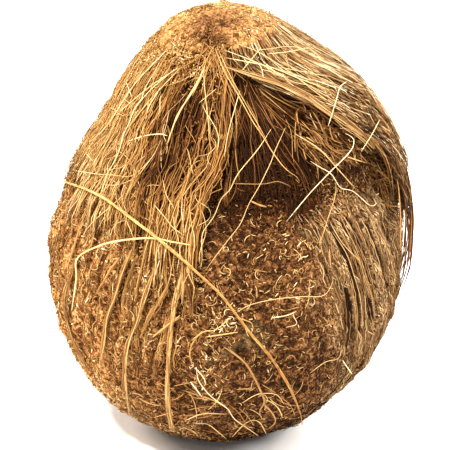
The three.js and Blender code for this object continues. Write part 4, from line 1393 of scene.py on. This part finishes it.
def soft_light(name, azimuth, elevation, distance, size, power, colour):
    """A round lamp that faces the middle of the nut."""
    lamp = bpy.data.lights.new(name, "AREA")
    lamp.shape = "DISK"
    lamp.size, lamp.energy, lamp.color = size, power, colour
    holder = bpy.data.objects.new(name, lamp)
    a, e = math.radians(azimuth), math.radians(elevation)
    away = Vector((math.cos(a) * math.cos(e), math.sin(a) * math.cos(e), math.sin(e)))
    holder.location = Vector((0, 0, 0.07)) + distance * away
    holder.rotation_euler = away.to_track_quat("Z", "Y").to_euler()
    bpy.context.collection.objects.link(holder)


def studio():
    """A plain pale floor under soft light."""
    bpy.ops.mesh.primitive_circle_add(vertices=96, radius=FLOOR_RADIUS, fill_type="NGON")
    floor = bpy.context.object
    floor.name = "studio_floor"
    floor.data.materials.append(floor_finish())
    world = bpy.context.scene.world or bpy.data.worlds.new("studio")
    bpy.context.scene.world = world
    world.use_nodes = True
    sky = world.node_tree.nodes["Background"]
    sky.inputs["Color"].default_value = (1, 1, 1, 1)
    sky.inputs["Strength"].default_value = SKY_STRENGTH
    bpy.context.scene.view_settings.view_transform = "Standard"
    for light in LIGHTS:
        soft_light(*light)


aim_camera()
studio()
husk = fibre_finish("husk_fibre", 0.6)
coir = fibre_finish("coir_fibre", 0.85)
nut_bed(felt_finish())
tuft_bed(bed_finish())
rng = np.random.default_rng(20)
felt_curls("crumbs", rng, 14500, (0.6, 1.9), (0.25, 0.6), 0, 0.02, coir, joints=2, rise=0.3, tip=0.8)
felt_curls("shreds", rng, 3800, (1.3, 3.2), (0.17, 0.28), 0.1, 0.1, coir, joints=4, rise=0.6, turn=2.8)
felt_curls("curls", rng, 1400, (2.0, 5.0), (0.17, 0.28), 0.2, 0.5, coir, joints=7, rise=1.0, turn=3.6)
matted_fibres("right_mat", rng, 1500, (-60, 50), (20, 100), (6, 26), None, 0.56, 0.14, coir)
furrow_shade_fibres(rng, coir)
matted_fibres("back_mat", rng, 500, (60, 170), (20, 84), (10, 30), RIDGE_SLANT, 0.42, 0.35, coir)
matted_fibres("left_mat", rng, 480, (-195, -100), (46, 96), (5, 16), -0.15, 0.44, 0.85, coir)
sheet_pieces(rng, husk)
parting_fibres(rng, husk)
pith(rng, 6000, coir)
hem_crumbs(rng, 7000, coir)
tangle(rng, 440, husk)
crown_stubs(rng, 6000, coir)
fringe_fibres(rng, 30, husk)
strap_fibres(rng, husk)
stray_fibres(rng, husk)
